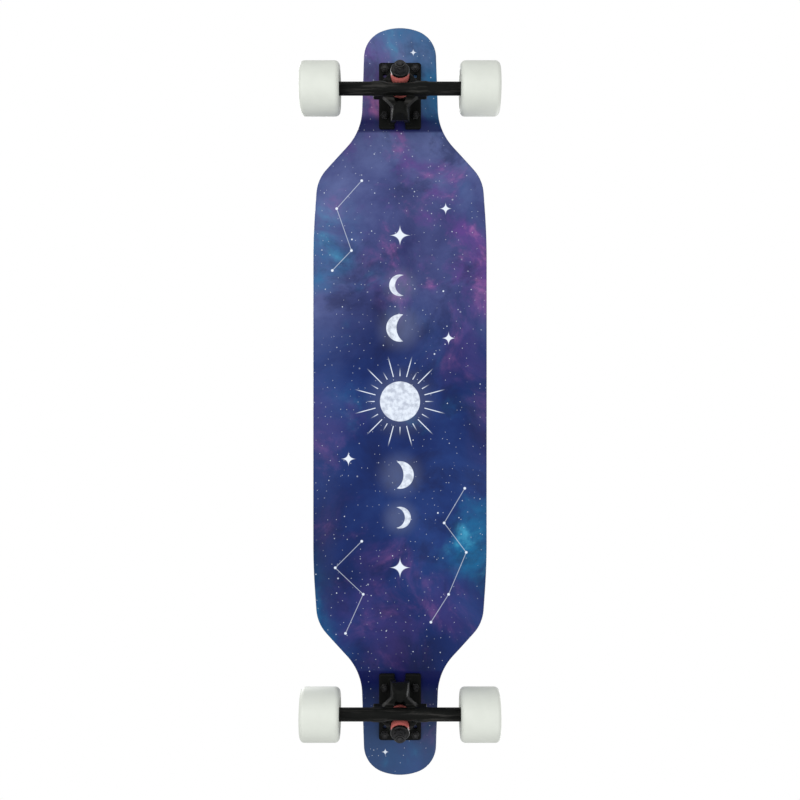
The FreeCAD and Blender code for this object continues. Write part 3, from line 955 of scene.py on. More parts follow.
def linked(name: str, data: bpy.types.ID) -> Piece:
    """Makes an object of a mesh, a lamp or a camera and links it to the scene.

    Args:
        name: Name of the object.
        data: What it is made of.

    Returns:
        The object.
    """
    made = bpy.data.objects.new(name, data)
    bpy.context.scene.collection.objects.link(made)
    return made


def mesh_of(name: str, shape: Shape) -> bpy.types.Mesh:
    """Turns a shape, which is used up, into a mesh.

    Args:
        name: Name of the mesh.
        shape: The shape.

    Returns:
        The mesh.
    """
    mesh = bpy.data.meshes.new(name)
    shape.to_mesh(mesh)
    shape.free()
    return mesh


def finished(piece: Piece, finishes: Sequence[Finish], sharp: float) -> Piece:
    """Gives a piece its finishes, and smooths it but for its sharp edges.

    Args:
        piece: The piece.
        finishes: Finishes of its skins in order.
        sharp: Angle, in degrees, above which an edge stays sharp.

    Returns:
        The piece.
    """
    mesh = piece.data
    if mesh.materials:
        mesh.materials.clear()
    for finish in finishes:
        mesh.materials.append(finish.material())
    mesh.polygons.foreach_set("use_smooth", [True] * len(mesh.polygons))
    mesh.set_sharp_from_angle(angle=math.radians(sharp))
    return piece


def new_piece(name: str, shape: Shape, finishes: Sequence[Finish], sharp: float) -> Piece:
    """Makes a piece of a shape in the board's frame, with its faces outwards."""
    bmesh.ops.recalc_face_normals(shape, faces=shape.faces)
    return finished(linked(name, mesh_of(name, shape)), finishes, sharp)


def reshape(piece: Piece, *steps: tuple[str, dict]) -> None:
    """Replaces a piece's mesh by what some modifiers make of it.

    Args:
        piece: The piece.
        steps: Kind and settings of each modifier.
    """
    for kind, settings in steps:
        modifier = piece.modifiers.new(kind, kind)
        for key, value in settings.items():
            setattr(modifier, key, value)
    bpy.context.view_layer.update()
    graph = bpy.context.evaluated_depsgraph_get()
    mesh = bpy.data.meshes.new_from_object(piece.evaluated_get(graph), depsgraph=graph)
    mesh.name = piece.name
    piece.modifiers.clear()
    piece.data = mesh


def carve(piece: Piece, tool: Shape) -> None:
    """Cuts a tool's solids out of a piece.

    Args:
        piece: The piece.
        tool: Solids to cut out, which are used up.
    """
    bmesh.ops.recalc_face_normals(tool, faces=tool.faces)
    cutter = linked("tool", mesh_of("tool", tool))
    reshape(piece, ("BOOLEAN", {"object": cutter, "operation": "DIFFERENCE", "solver": "EXACT"}))
    bpy.data.objects.remove(cutter)


def seat(piece: Piece, node: str, body: str | None = BOARD) -> None:
    """Puts a piece in the place of a solid, on the body that carries it, and hides the solid.

    Args:
        piece: The piece.
        node: Solid that it stands for.
        body: Body that carries it, or None to leave it on no body.
    """
    if body:
        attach(piece, body)
    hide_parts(node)
    log.info("%s stands for %s", piece.name, node)


def dress(node: str, finish: Finish) -> None:
    """Gives a solid that stays in view its finish.

    Args:
        node: Name of the solid.
        finish: Its finish.
    """
    skins = frame["nodes"][node].data.materials
    skins.clear()
    skins.append(finish.material())
    log.info("%s dressed as %s", node, type(finish).__name__)


@dataclass(frozen=True)
class RimPoint:
    """A point of the deck's outline with the direction that faces out of the deck."""

    place: Vector
    outward: Vector


@dataclass(frozen=True)
class Planform:
    """Outline and pressing of the deck, in metres."""

    length: float = 1.016
    width: float = 0.237
    bow_length: float = 0.076
    bow_radius: float = 0.9
    flare_length: float = 0.0656
    shoulder_inset: float = 0.0055
    shoulder_radius: float = 0.05
    tip_to_neck: float = 0.1404
    neck_half_width: float = 0.0526
    neck_radius: float = 0.078
    nose_half_width: float = 0.0482
    nose_slant: float = math.radians(18.0)
    tip_run_share: float = 0.448
    corner_run_share: float = 0.525
    tip_to_press_end: float = 0.145
    press_run_out: float = 0.08
    hump_height: float = 0.0022
    valley_share: float = 0.62
    step: float = 0.004

    def corners(self) -> list[Three]:
        """Gives the corners of the outline, each with its radius, once round the deck."""
        tip = self.length / 2
        neck_x = tip - self.tip_to_neck
        shoulder_x = neck_x - self.flare_length
        slant_length = self.nose_half_width / math.cos(self.nose_slant)
        tip_radius = self.tip_run_share * slant_length / math.tan(self.nose_slant)
        apex_x = tip + tip_radius / math.cos(self.nose_slant) - tip_radius
        corner_x = apex_x - self.nose_half_width * math.tan(self.nose_slant)
        lean = math.atan2(self.neck_half_width - self.nose_half_width, corner_x - neck_x)
        turn = math.pi / 2 - self.nose_slant - lean
        corner_radius = self.corner_run_share * slant_length / math.tan(turn / 2)
        side = [(shoulder_x - self.bow_length, self.width / 2, self.bow_radius),
                (shoulder_x, self.width / 2 - self.shoulder_inset, self.shoulder_radius),
                (neck_x, self.neck_half_width, self.neck_radius),
                (corner_x, self.nose_half_width, corner_radius)]
        end = side + [(apex_x, 0.0, tip_radius)] + [(x, -y, r) for x, y, r in reversed(side)]
        return end + [(-x, -y, r) for x, y, r in end]

    def rim(self) -> list[RimPoint]:
        """Walks once round the outline in even steps, with arcs at the corners."""
        corners = self.corners()
        spots = [Vector((x, y, 0.0)) for x, y, _ in corners]
        arcs = [fillet(spots[index - 1], spots[index], spots[(index + 1) % len(spots)], radius)
                for index, (_, _, radius) in enumerate(corners)]
        points: list[RimPoint] = []
        for index, (first, last, middle) in enumerate(arcs):
            start, end = first - middle, last - middle
            bulges = 1.0 if start.cross(end).z < 0 else -1.0
            count = max(2, round(start.length * start.angle(end) / self.step))
            for part in range(count + 1):
                spoke = start.slerp(end, part / count)
                points.append(RimPoint(middle + spoke * start.length, spoke * bulges))
            target = arcs[(index + 1) % len(arcs)][0]
            count = max(1, round((target - last).length / self.step))
            for part in range(1, count):
                points.append(RimPoint(last.lerp(target, part / count), points[-1].outward))
        return points

    def rise(self, x: float, y: float) -> float:
        """Height of the pressing at a point of the deck.

        Args:
            x: Place along the board.
            y: Place across the board.

        Returns:
            The rise above the flat ends.
        """
        full_x = self.length / 2 - self.tip_to_press_end - self.press_run_out
        out = min(max((abs(x) - full_x) / self.press_run_out, 0.0), 1.0)
        fade = 1 - out ** 3 * (10 - 15 * out + 6 * out ** 2)
        across = y / (self.width / 2) / self.valley_share
        return fade * self.hump_height * (1 - across ** 2) ** 2

    def spine(self, x: float) -> Vector:
        """Gives the point of the middle line that a place of the outline looks at."""
        reach = self.length / 2 - self.nose_half_width
        return Vector((min(max(x, -reach), reach), 0.0, 0.0))


@dataclass
class Sheet:
    """A sheet that follows the pressing, from its lower face up, with a rounded edge."""

    planform: Planform
    base: float
    thickness: float
    edge_round: float
    edge_steps: int = 5
    rows: int = 22
    sharp: float = 40.0

    def section(self) -> list[tuple[float, float]]:
        """Gives the edge from the lower face to the upper one, as inset and height."""
        turns = [math.pi / 2 * step / self.edge_steps for step in range(self.edge_steps + 1)]
        points = [(self.edge_round * (1 - math.sin(turn)), self.edge_round * (1 - math.cos(turn)))
                  for turn in turns]
        return points + [(inset, self.thickness - height) for inset, height in reversed(points)]

    def piece(self, name: str, skins: tuple[int, int, int], finishes: Sequence[Finish]) -> Piece:
        """Makes the sheet, whose points carry their height through it from 0 to 1.

        Args:
            name: Name of the piece.
            skins: Skins of the lower face, the edge and the upper face.
            finishes: Finishes of the skins in order.

        Returns:
            The piece.
        """
        shape = bmesh.new()
        layer = shape.verts.layers.float.new(DeckSlab.HEIGHT)
        rim = self.planform.rim()

        def ring(inset: float, height: float, share: float) -> list[bmesh.types.BMVert]:
            """Adds one loop of points.

            Args:
                inset: Distance in from the outline.
                height: Height above the lower face.
                share: How far the loop is drawn in, with 1 at the middle line.

            Returns:
                The points in order.
            """
            loop = []
            for point in rim:
                flat = point.place - point.outward * inset
                flat = flat.lerp(self.planform.spine(flat.x), share)
                flat.z = self.base + height + self.planform.rise(flat.x, flat.y)
                loop.append(shape.verts.new(flat))
                loop[-1][layer] = height / self.thickness
            return loop

        section = self.section()
        shares = [row / self.rows for row in range(1, self.rows + 1)]
        rings = [ring(*section[0], share) for share in reversed(shares)]
        rings += [ring(*spot, 0.0) for spot in section]
        rings += [ring(*section[-1], share) for share in shares]
        under = self.rows + self.edge_steps
        edge = len(section) - self.edge_steps - 1
        counts = (under, edge, self.rows + 1)
        bridge(shape, rings, [skin for skin, count in zip(skins, counts) for _ in range(count)])
        bmesh.ops.remove_doubles(shape, verts=shape.verts, dist=self.edge_round / 1000)
        return new_piece(name, shape, finishes, self.sharp)


@dataclass
class RolledSheet(Sheet):
    """A sheet whose rim is rolled down over the rounded edge that it lies on."""

    roll: float = math.radians(46.0)

    def section(self) -> list[tuple[float, float]]:
        """Gives the rolled rim from the lower face to the upper one, as inset and height."""
        turns = [self.roll * step / self.edge_steps for step in range(self.edge_steps + 1)]
        under, over = self.edge_round, self.edge_round + self.thickness
        lower = [(under * (1 - math.sin(turn)), under * (math.cos(turn) - 1)) for turn in turns]
        upper = [(under - over * math.sin(turn), over * math.cos(turn) - under) for turn in reversed(turns)]
        return lower + upper


@dataclass
class BoltPattern:
    """Places and sizes of the mounting bolts, in metres."""

    rows_apart: float = 0.0635
    columns_apart: float = 0.0413
    head_radius: float = 0.0047
    head_height: float = 0.003
    shank_radius: float = 0.0024
    hole_segments: int = 48

    def places(self, end: End) -> list[Vector]:
        """Finds the bolts of one truck.

        Args:
            end: End of the board.

        Returns:
            The middles of its four bolts.
        """
        inner_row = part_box("front_mounting_bolts")[0].x + self.head_radius
        rows = (inner_row, inner_row + self.rows_apart)
        columns = (-self.columns_apart / 2, self.columns_apart / 2)
        return [Vector((end.value * x, y, 0.0)) for x in rows for y in columns]

    def bore(self, piece: Piece, clearance: float, low: float, high: float) -> None:
        """Cuts a hole in a piece for the head of every bolt.

        Args:
            piece: The piece.
            clearance: Room round a head.
            low: Height where the holes start.
            high: Height where they end.
        """
        radius = self.head_radius + clearance
        corners = [Corner(0.0, low), Corner(radius, low), Corner(radius, high), Corner(0.0, high)]
        places = [Matrix.Translation(place) for end in End for place in self.places(end)]
        carve(piece, Turning(corners, False, self.hole_segments).add(bmesh.new(), places))


@dataclass
class DeckSlab:
    """The pressed maple deck with its printed underside."""

    HEIGHT = "height_through_deck"
    planform: Planform
    bolts: BoltPattern
    edge_round: float = 0.0028
    hole_clearance: float = 0.00005
    hole_depth: float = 0.0034

    def build(self) -> None:
        """Builds the deck and sets it on the board."""
        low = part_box("deck")[0].z
        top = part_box("front_mounting_bolts")[1].z
        sheet = Sheet(self.planform, low, top - low, self.edge_round)
        piece = sheet.piece("deck_board", (0, 1, 1), (PrintedUnderside(), MaplePlies()))
        self.bolts.bore(piece, self.hole_clearance, top - self.hole_depth, top + self.edge_round)
        seat(piece, "deck")


@dataclass
class GripSheet:
    """The gritted sheet on top of the deck, open over the bolt heads."""

    planform: Planform
    bolts: BoltPattern
    edge_round: float = DeckSlab.edge_round
    hole_clearance: float = 0.0002

    def build(self) -> None:
        """Builds the grip and lays it on the deck, rolled over its rounded edge."""
        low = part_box("grip_tape")[0].z
        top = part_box("front_mounting_bolts")[1].z
        thickness = frame["record"]["mounts"][0]["pos_m"][2] - top
        sheet = RolledSheet(self.planform, top, thickness, self.edge_round)
        piece = sheet.piece("grip_sheet", (0, 0, 0), (GripGrit(),))
        self.bolts.bore(piece, self.hole_clearance, low - thickness, top + 2 * thickness)
        seat(piece, "grip_tape")


@dataclass
class Casting:
    """A black casting with soft edges, grown from its solid."""

    node: str
    body: str
    finish: Finish
    voxel: float = 0.0008
    weld_share: float = 0.02
    softness: float = 0.5
    rounds: int = 5
    kept: float = 0.5
    sharp: float = 60.0

    def build(self) -> None:
        """Builds the casting and sets it on its body."""
        piece = linked(self.node + "_casting", frame["nodes"][self.node].data.copy())
        reshape(piece, ("WELD", {"merge_threshold": self.voxel * self.weld_share}),
                ("REMESH", {"mode": "VOXEL", "voxel_size": self.voxel}),
                ("SMOOTH", {"factor": self.softness, "iterations": self.rounds}),
                ("DECIMATE", {"ratio": self.kept}))
        seat(finished(piece, (self.finish,), self.sharp), self.node, self.body)


@dataclass(frozen=True)
class HexSize:
    """Sizes of a hexagon, in metres: flats and height, and for a lock nut its collar, insert and bore."""

    flats: float
    height: float
    collar_radius: float = 0.0
    collar_height: float = 0.0
    bore: float = 0.0
    bevel_share: float = 0.94
    bevel_slope: float = 0.55
    collar_round: float = 0.4
    insert_mouth: float = 1.32
    insert_foot: float = 1.28
    insert_depth: float = 0.3
    insert_seat: float = 0.34
    segments: int = 72
    arc_steps: int = 4

    @property
    def face(self) -> float:
        """Radius of a flat face inside its bevel."""
        return self.flats / 2 * self.bevel_share

    @property
    def top(self) -> float:
        """Height of the hexagon with its collar."""
        return self.height + self.collar_height

    def six_sided(self, angle: float, corner: Corner) -> tuple[float, float]:
        """Brings the widest corners in to the hexagon and bevels a nut's faces, or a head's outer one.

        Args:
            angle: Angle about the axis.
            corner: Corner of the profile.

        Returns:
            Its radius and height at that angle.
        """
        if corner.radius < self.flats:
            return corner.radius, corner.height
        sixth = math.pi / 3
        reach = self.flats / 2 / math.cos((angle + sixth / 2) % sixth - sixth / 2)
        drop = (reach - self.face) * self.bevel_slope
        if corner.height > 0:
            return reach, corner.height - drop
        return reach, drop if self.bore else 0.0

    def head(self) -> Turning:
        """Gives a bolt's head, to be turned on its seat."""
        corners = [Corner(0.0, 0.0), Corner(self.flats, 0.0), Corner(self.flats, self.height),
                   Corner(self.face, self.height), Corner(0.0, self.height)]
        return Turning(corners, False, self.segments, bend=self.six_sided)

    def nuts(self, name: str, places: Sequence[Matrix], finish: Finish) -> Piece:
        """Makes one or more lock nuts: a bevelled hexagon, a round collar and a dark insert.

        Args:
            name: Name of the piece.
            places: Seat of each nut, with z pointing away from what it presses on.
            finish: Finish of the nuts.

        Returns:
            The piece.
        """
        wide, collar, bore = self.flats, self.collar_height, self.bore
        corners = [Corner(bore, 0.0), Corner(self.face, 0.0), Corner(wide, 0.0), Corner(wide, self.height),
                   Corner(self.face, self.height), Corner(self.collar_radius, self.height),
                   Corner(self.collar_radius, self.top, collar * self.collar_round),
                   Corner(bore * self.insert_mouth, self.top, 0.0, 1),
                   Corner(bore * self.insert_foot, self.top - collar * self.insert_depth, 0.0, 1),
                   Corner(bore, self.top - collar * self.insert_seat)]
        turning = Turning(corners, True, self.segments, self.arc_steps, self.six_sided)
        return turning.piece(name, places, (finish, SealRubber()), HEX_SHARP)


@dataclass
class EndAssembly:
    """An assembly at one end of the board."""

    end: End

    def named(self, part: str) -> str:
        """Gives the full name of a part of the assembly."""
        return f"{self.end.word}_{part}"

    def joint(self, name: str) -> dict:
        """Gives a joint of the assembly."""
        return next(joint for joint in frame["joints"] if joint["name"] == self.named(name))


@dataclass
class Truck(EndAssembly):
    """One truck: castings, kingpin stack and bolts, in the frame of its steering joint."""

    # Both sides of the hanger's ring, with the way that each faces along the kingpin.
    STACK = (("boardside", 1), ("roadside", -1))
    bolts: BoltPattern
    web_half: float = 0.0045
    bushing_height: float = 0.016
    bushing_radius: float = 0.012
    bushing_bore: float = 0.0064
    bushing_round: float = 0.0015
    belly_low: float = 0.3
    belly_high: float = 0.6
    washer_radius: float = 0.0123
    washer_thickness: float = 0.0026
    washer_round: float = 0.0021
    lip_depth: float = 0.002
    lip_wall: float = 0.0012
    lip_round: float = 0.00042
    kingpin_radius: float = 0.00475
    kingpin_tail: float = 0.0006
    kingpin_grip: float = 0.014
    kingpin_head: float = 0.006
    pin_segments: int = 64
    thread_pitch: float = 0.0009
    thread_depth: float = 0.00045
    kingpin_nut: HexSize = HexSize(0.0143, 0.0075, 0.0066, 0.0012, 0.00475)
    bolt_nut: HexSize = HexSize(0.0095, 0.0036, 0.0041, 0.0014, 0.0024)
    bolt_point: float = 0.0024
    bolt_pitch: float = 0.0008
    recess_reach: float = 0.0024
    recess_width: float = 0.00085
    recess_depth: float = 0.0019
    recess_taper: float = 0.45
    recess_mouth: float = 1.1
    crown: float = 0.00015
    crown_share: float = 0.8
    origin: Vector = field(init=False)
    kingpin_axis: Vector = field(init=False)
    bushing_end: float = field(init=False)
    stack_end: float = field(init=False)
    lip_mouth: float = field(init=False)

    def __post_init__(self) -> None:
        """Takes the ring's middle and the kingpin's axis from the joint, and works out the stack."""
        joint = self.joint("truck_steer")
        self.origin = Vector(joint["pos_m"])
        self.kingpin_axis = Vector(joint["axis"]).cross(Vector((0.0, self.end.value, 0.0))).normalized()
        self.bushing_end = self.web_half + self.bushing_height
        self.stack_end = self.bushing_end + self.washer_thickness
        self.lip_mouth = self.washer_radius - self.lip_wall

    def stack_place(self, way: int) -> Matrix:
        """Gives the place at the ring's middle, with z up or down the kingpin."""
        return standing(self.origin, self.kingpin_axis * way)

    def build(self) -> None:
        """Builds every piece of the truck."""
        Casting(self.named("baseplate"), BOARD, CastBlack()).build()
        Casting(self.named("hanger"), self.named("truck"), HangerBlack()).build()
        self.bushings()
        self.washers()
        self.kingpin()
        self.mounting_bolts()
        self.mounting_nuts()
        dress(self.named("pivot_cup"), CoralUrethane())
        dress(self.named("bearing_spacers"), ZincSteel())

    def bushings(self) -> None:
        """Builds both bushings between the washer and the ring."""
        low, far, ease = self.web_half, self.bushing_end, self.bushing_round
        belly, bore = self.bushing_radius, self.bushing_bore
        corners = [Corner(bore, low), Corner(belly - ease / 2, low, ease),
                   Corner(belly, low + self.bushing_height * self.belly_low, ease * 4),
                   Corner(belly, low + self.bushing_height * self.belly_high, ease * 3),
                   Corner(self.lip_mouth, far - self.lip_depth), Corner(self.lip_mouth, far),
                   Corner(bore, far)]
        for side, way in self.STACK:
            node = self.named(side + "_bushing")
            place = self.stack_place(way)
            piece = Turning(corners).piece(node + "_barrel", [place], (CoralUrethane(),))
            self.named("truck")
            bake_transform(piece)
            seat(piece, node, None)

    def washers(self) -> None:
        """Builds the cup washers that hold the bushings' ends."""
        low, lip, ease = self.bushing_end, self.bushing_end - self.lip_depth, self.lip_round
        corners = [Corner(self.kingpin_radius, low), Corner(self.lip_mouth, low),
                   Corner(self.lip_mouth, lip, ease), Corner(self.washer_radius, lip, ease),
                   Corner(self.washer_radius, self.stack_end, self.washer_round),
                   Corner(self.kingpin_radius, self.stack_end)]
        for side, way in self.STACK:
            node = self.named(side + "_washer")
            seat(Turning(corners).piece(node + "_cap", [self.stack_place(way)], (BlackSteel(),)), node)

    def kingpin(self) -> None:
        """Builds the kingpin with its thread and six-sided head, and its lock nut."""
        radius, depth, end = self.kingpin_radius, self.thread_depth, self.stack_end
        tail = -(end + self.kingpin_nut.top + self.kingpin_tail)
        head_low = end + self.kingpin_grip
        corners = [Corner(0.0, tail), Corner(radius - depth * 2, tail)]
        corners += threaded(radius, tail + depth * 2, -end, self.thread_pitch, depth)
        corners += [Corner(radius, -end), Corner(radius, head_low), Corner(0.0, head_low)]
        place = self.stack_place(1)
        shape = Turning(corners, False, self.pin_segments).add(bmesh.new(), [place])
        HexSize(self.kingpin_nut.flats, self.kingpin_head).head().add(shape, [raised(place, head_low)])
        pin = new_piece(self.named("kingpin_pin"), shape, (BlackSteel(),), HEX_SHARP)
        seat(pin, self.named("kingpin"))
        nut_place = raised(self.stack_place(-1), end)
        nut = self.kingpin_nut.nuts(self.named("kingpin_lock_nut"), [nut_place], BlackSteel())
        seat(nut, self.named("kingpin_nut"))

    def mounting_bolts(self) -> None:
        """Builds the four countersunk bolts with their crossed recesses and threads."""
        node = self.named("mounting_bolts")
        low, top = (corner.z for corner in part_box(node))
        shank, head, depth = self.bolts.shank_radius, self.bolts.head_radius, self.bolt_pitch / 2
        thread_end = low + self.bolt_point + self.bolt_nut.top
        corners = [Corner(0.0, low), Corner(shank - depth, low)]
        corners += threaded(shank, low + depth, thread_end, self.bolt_pitch, depth)
        corners += [Corner(shank, thread_end), Corner(shank, top - self.bolts.head_height, 0.0, 1),
                    Corner(head, top - self.crown, self.crown * 2, 1),
                    Corner(head * self.crown_share, top + self.crown, self.crown, 1),
                    Corner(0.0, top + self.crown)]
        places = [Matrix.Translation(place) for place in self.bolts.places(self.end)]
        turning = Turning(corners, False, self.pin_segments)
        piece = turning.piece(self.named("mounting_bolt_set"), places, (BlackSteel(), RubbedSteel()))
        tool = bmesh.new()
        for place in places:
            self.add_cross(tool, raised(place, top + self.crown))
        carve(piece, tool)
        piece.data.set_sharp_from_angle(angle=math.radians(SHARP))
        seat(piece, node)

    def add_cross(self, tool: Shape, place: Matrix) -> None:
        """Adds the tapered cross of a driver's tip to a cutting tool.

        Args:
            tool: Tool that takes the cross.
            place: Middle of the bolt's head.
        """
        wide, reach, deep = self.recess_width / 2, self.recess_reach, self.recess_depth
        arm = [(reach, -wide), (reach, wide), (wide, wide)]
        outline = []
        for _ in range(4):
            outline += arm
            arm = [(-y, x) for x, y in arm]
        levels = ((deep / 2, self.recess_mouth), (0.0, 1.0), (-deep, self.recess_taper))
        rings = [[tool.verts.new(place @ Vector((x * share, y * share, height))) for x, y in outline]
                 for height, share in levels]
        bridge(tool, rings, [0] * len(rings))
        tool.faces.new(list(reversed(rings[0])))
        tool.faces.new(rings[-1])

    def mounting_nuts(self) -> None:
        """Builds the four lock nuts under the baseplate."""
        node = self.named("mounting_nuts")
        seat_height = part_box(node)[1].z
        down = Matrix.Rotation(math.pi, 4, "X")
        places = [Matrix.Translation((place.x, place.y, seat_height)) @ down
                  for place in self.bolts.places(self.end)]
        seat(self.bolt_nut.nuts(self.named("mounting_lock_nuts"), places, BlackSteel()), node)


@dataclass
class AxleSet(EndAssembly):
    """The axle of a truck with its nuts, washers and inner rings."""

    radius: float = 0.004
    half_length: float = 0.126
    hanger_half: float = 0.09
    washer_radius: float = 0.006
    washer_thickness: float = 0.001
    washer_round: float = 0.0003
    bearing_width: float = 0.007
    spacer_length: float = 0.01
    inner_ring: float = 0.0061
    ring_round: float = 0.00035
    bar_segments: int = 48
    ring_segments: int = 64
    pitch: float = 0.001
    depth: float = 0.0005
    nut: HexSize = HexSize(0.013, 0.006, 0.0054, 0.002, 0.004)

    def ends(self, reach: float) -> list[Matrix]:
        """Finds the like places at both ends of the axle.

        Args:
            reach: Distance from the axle's middle.

        Returns:
            The two places, with z pointing outwards.
        """
        low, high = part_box(self.named("axle"))
        ways = [Vector((0.0, side.value, 0.0)) for side in Side]
        return [standing((low + high) / 2 + way * reach, way) for way in ways]

    def build(self) -> None:
        """Builds every piece on the axle."""
        bar = self.bar()
        first = self.hanger_half + self.washer_thickness
        second = first + self.bearing_width + self.spacer_length
        washer = second + self.bearing_width
        nut_places = self.ends(washer + self.washer_thickness)
        nuts = self.nut.nuts(self.named("axle_lock_nuts"), nut_places, ZincSteel())
        washers = self.rings("speed_washer_set", (self.hanger_half, washer), ZincSteel(),
                             [Corner(self.radius, 0.0), Corner(self.washer_radius, 0.0, self.washer_round),
                              Corner(self.washer_radius, self.washer_thickness, self.washer_round),
                              Corner(self.radius, self.washer_thickness)])
        ease = self.ring_round
        bearings = self.rings("bearing_inner_ring_set", (first, second), GroundSteel(),
                              [Corner(self.radius, 0.0, ease), Corner(self.inner_ring, 0.0, ease),
                               Corner(self.inner_ring, self.bearing_width, ease),
                               Corner(self.radius, self.bearing_width, ease)])
        for piece, node in ((bar, "axle"), (nuts, "axle_nuts"), (washers, "speed_washers"),
                            (bearings, "bearing_inner_rings")):
            seat(piece, self.named(node), self.named("truck"))

    def bar(self) -> Piece:
        """Makes the axle with a thread at each end."""
        start, end = self.half_length - self.nut.top - 2 * self.washer_thickness, self.half_length
        half = [Corner(self.radius, start)]
        half += threaded(self.radius, start, end - self.depth, self.pitch, self.depth)
        half += [Corner(self.radius - self.depth * 2, end), Corner(0.0, end)]
        turning = Turning([corner.flipped() for corner in reversed(half)] + half, False, self.bar_segments)
        return turning.piece(self.named("axle_bar"), self.ends(0.0)[:1], (ZincSteel(),))

    def rings(self, name: str, reaches: tuple[float, float], finish: Finish,
              corners: Sequence[Corner]) -> Piece:
        """Makes four like rings, two at each end of the axle.

        Args:
            name: Name of the piece.
            reaches: Distances of the rings from the axle's middle.
            finish: Finish of the rings.
            corners: Profile of a ring.

        Returns:
            The piece.
        """
        places = [place for reach in reaches for place in self.ends(reach)]
        return Turning(corners, True, self.ring_segments).piece(self.named(name), places, (finish,))


@dataclass
class Wheel(EndAssembly):
    """A urethane wheel with its two sealed bearings."""

    side: Side
    radius: float = 0.035
    half_width: float = 0.0255
    lip: float = 0.0065
    rim: float = 0.0035
    hub_half: float = 0.014
    hub_wall: float = 0.004
    seat_half: float = 0.005
    shoulder: float = 0.002
    tyre_segments: int = 144
    tyre_arc_steps: int = 10
    tyre_sharp: float = 50.0
    bearing_radius: float = 0.011
    bearing_width: float = 0.007
    bearing_round: float = 0.00042
    bearing_segments: int = 72
    seal_outer: float = 0.0094
    seal_inner: float = 0.00615
    seal_drop: float = 0.00035

    def named(self, part: str) -> str:
        """Gives the full name of a part of this wheel."""
        return f"{self.end.word}_{self.side.word}_{part}"

    def build(self) -> None:
        """Builds the wheel and its bearings, with z pointing out of the board."""
        place = standing(Vector(self.joint("wheel_spin")["pos_m"]), Vector((0.0, self.side.value, 0.0)))
        tyre = self.tyre().piece(self.named("wheel_tyre"), [place], (WheelUrethane(),), self.tyre_sharp)
        seat(tyre, self.named("tyre"), self.named("wheel"))
        middle = self.seat_half + self.bearing_width / 2
        places = [raised(place, way * middle) for way in (-1, 1)]
        rings = self.bearing().piece(self.named("bearing_ring_set"), places, (GroundSteel(), SealRubber()))
        seat(rings, self.named("bearing_outer_rings"), self.named("wheel"))

    def tyre(self) -> Turning:
        """Gives the moulded wheel with round lips and dished faces."""
        bore = self.bearing_radius
        half = [Corner(self.radius, self.half_width, self.lip),
                Corner(self.radius - self.lip - self.rim, self.half_width, self.rim / 2),
                Corner(bore + self.hub_wall, self.hub_half, self.rim / 3),
                Corner(bore, self.hub_half, self.rim / 9), Corner(bore, self.seat_half),
                Corner(bore - self.shoulder, self.seat_half)]
        corners = half + [corner.flipped() for corner in reversed(half)]
        return Turning(corners, True, self.tyre_segments, self.tyre_arc_steps)

    def bearing(self) -> Turning:
        """Gives an outer ring with the seals set into it."""
        ease, high = self.bearing_round, self.bearing_width / 2
        half = [Corner(self.bearing_radius, high, ease), Corner(self.seal_outer, high, 0.0, 1),
                Corner(self.seal_outer - ease, high - self.seal_drop, 0.0, 1),
                Corner(self.seal_inner, high - self.seal_drop, 0.0, 1)]
        other = [corner.flipped(skin) for corner, skin in zip(reversed(half), (1, 1, 0, 0))]
        return Turning(half + other, True, self.bearing_segments)


@dataclass(frozen=True)
class Softbox:
    """A square lamp with a soft edge: where it stands, where it points, its size and its power."""

    name: str
    place: Three
    size: float
    power: float
    aim: Three = (0.0, 0.0, 0.08)

    def build(self) -> None:
        """Adds the lamp to the scene."""
        light = bpy.data.lights.new(self.name, "AREA")
        light.shape = "SQUARE"
        light.size = self.size
        light.energy = self.power
        lamp = linked(self.name, light)
        lamp.location = self.place
        lamp.rotation_mode = "QUATERNION"
        lamp.rotation_quaternion = (Vector(self.aim) - Vector(self.place)).to_track_quat("-Z", "Y")


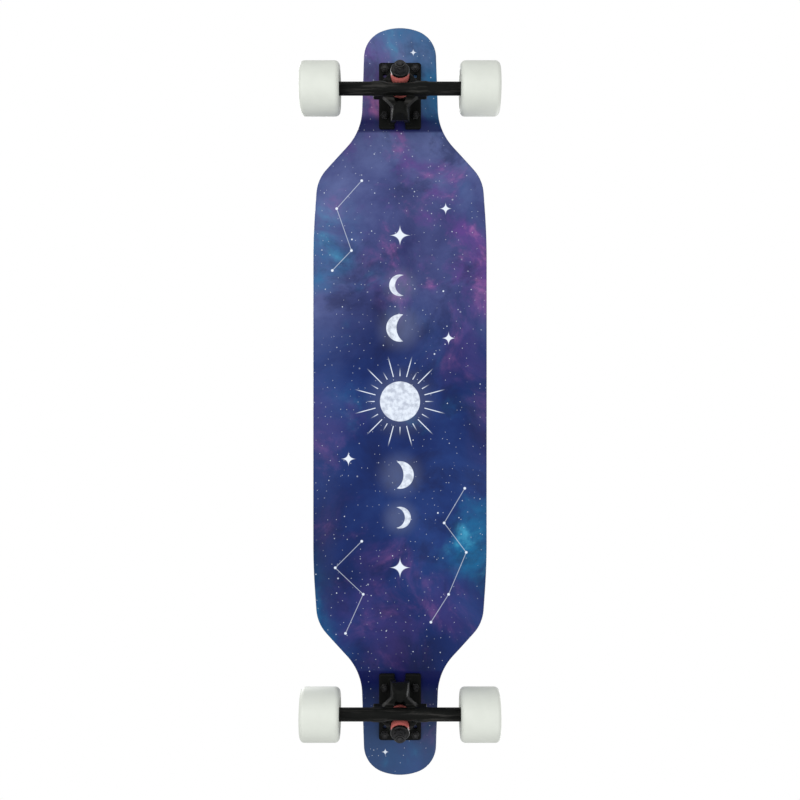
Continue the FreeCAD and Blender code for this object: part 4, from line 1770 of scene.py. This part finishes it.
@dataclass
class Studio:
    """Pale floor, white surroundings, soft lamps and the camera that looks at the underside."""

    floor_half: float = 6.0
    floor_clear: float = 0.9
    floor_gone: float = 3.2
    floor_paint: Paint = Paint(236, 236, 236)
    floor_speckle: Paint = Paint(230, 230, 230)
    ambient: float = 0.55
    camera_place: Three = (0.002, 0.0, -1.3479)
    camera_aim: Three = (0.002, 0.0, 0.107)
    lens: float = 48.2
    clip_end: float = 50.0
    lamps: tuple[Softbox, ...] = (
        Softbox("lamp_under_key", (0.5, -1.2, -1.9), 2.4, 36.0),
        Softbox("lamp_under_fill", (-0.6, 1.4, -1.7), 2.4, 20.0),
        Softbox("lamp_over_key", (0.7, -1.0, 1.9), 1.4, 30.0),
        Softbox("lamp_over_fill", (-0.8, 1.2, 1.6), 1.4, 16.0))

    def build(self) -> None:
        """Builds the stage."""
        bpy.context.scene.view_settings.view_transform = "Standard"
        self.surroundings()
        self.floor()
        for lamp in self.lamps:
            lamp.build()
        self.camera()

    def surroundings(self) -> None:
        """White to the eye and in shiny surfaces, and a plain level of light elsewhere."""
        world = bpy.data.worlds.new("studio")
        world.use_nodes = True
        nodes = NodeSheet(world.node_tree)
        rays = nodes.add("LightPath").outputs
        seen = nodes.most(rays["Is Camera Ray"], rays["Is Glossy Ray"], rays["Is Transmission Ray"])
        level = nodes.band(seen, 0.0, 1.0, self.ambient, 1.0)
        sky = nodes.add("Background", {"Color": Paint(255, 255, 255), "Strength": level})
        nodes.add("OutputWorld", {"Surface": sky.outputs[0]})
        bpy.context.scene.world = world

    def floor(self) -> None:
        """A pale floor that shows from above only, so that the underside can be seen and lit from below."""
        shape = bmesh.new()
        half = self.floor_half
        corners = ((-half, -half), (half, -half), (half, half), (-half, half))
        shape.faces.new([shape.verts.new((x, y, 0.0)) for x, y in corners])
        floor = linked("floor", mesh_of("floor", shape))
        nodes = MaterialSheet("PaleFloor")
        tone = nodes.mix(nodes.noise(14.0, 3.0), self.floor_paint, self.floor_speckle)
        nodes.surface(Base_Color=tone, Roughness=0.8, Specular_IOR_Level=0.1)
        eye = nodes.add("LightPath").outputs["Is Camera Ray"]
        front = nodes.maths("SUBTRACT", 1.0, nodes.add("NewGeometry").outputs["Backfacing"])
        near = nodes.band(nodes.vector("LENGTH", nodes.place), self.floor_gone, self.floor_clear)
        clear = nodes.add("BsdfTransparent").outputs[0]
        cover = nodes.add("MixShader", {0: nodes.times(eye, front, near), 1: clear,
                                        2: nodes.shader.outputs["BSDF"]})
        nodes.put(nodes.output.inputs["Surface"], cover.outputs[0])
        floor.data.materials.append(nodes.material)

    def camera(self) -> None:
        """Sets the camera under the board, with the nose towards the top of the picture."""
        data = bpy.data.cameras.new("camera")
        data.lens = self.lens
        data.clip_end = self.clip_end
        forward = (Vector(self.camera_aim) - Vector(self.camera_place)).normalized()
        right = forward.cross(Vector((1.0, 0.0, 0.0))).normalized()
        turn = Matrix((right, right.cross(forward), -forward)).transposed()
        camera = linked("camera", data)
        camera.matrix_world = Matrix.Translation(self.camera_place) @ turn.to_4x4()
        bpy.context.scene.camera = camera


def main() -> None:
    """Builds the stage and every sub-assembly in order."""
    logging.basicConfig(level=logging.INFO, format="%(name)s: %(message)s")
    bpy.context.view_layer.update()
    planform, bolts = Planform(), BoltPattern()
    Studio().build()
    DeckSlab(planform, bolts).build()
    GripSheet(planform, bolts).build()
    for end in End:
        Truck(end, bolts).build()
        AxleSet(end).build()
        for side in Side:
            Wheel(end, side).build()


if __name__ == "__main__":
    main()
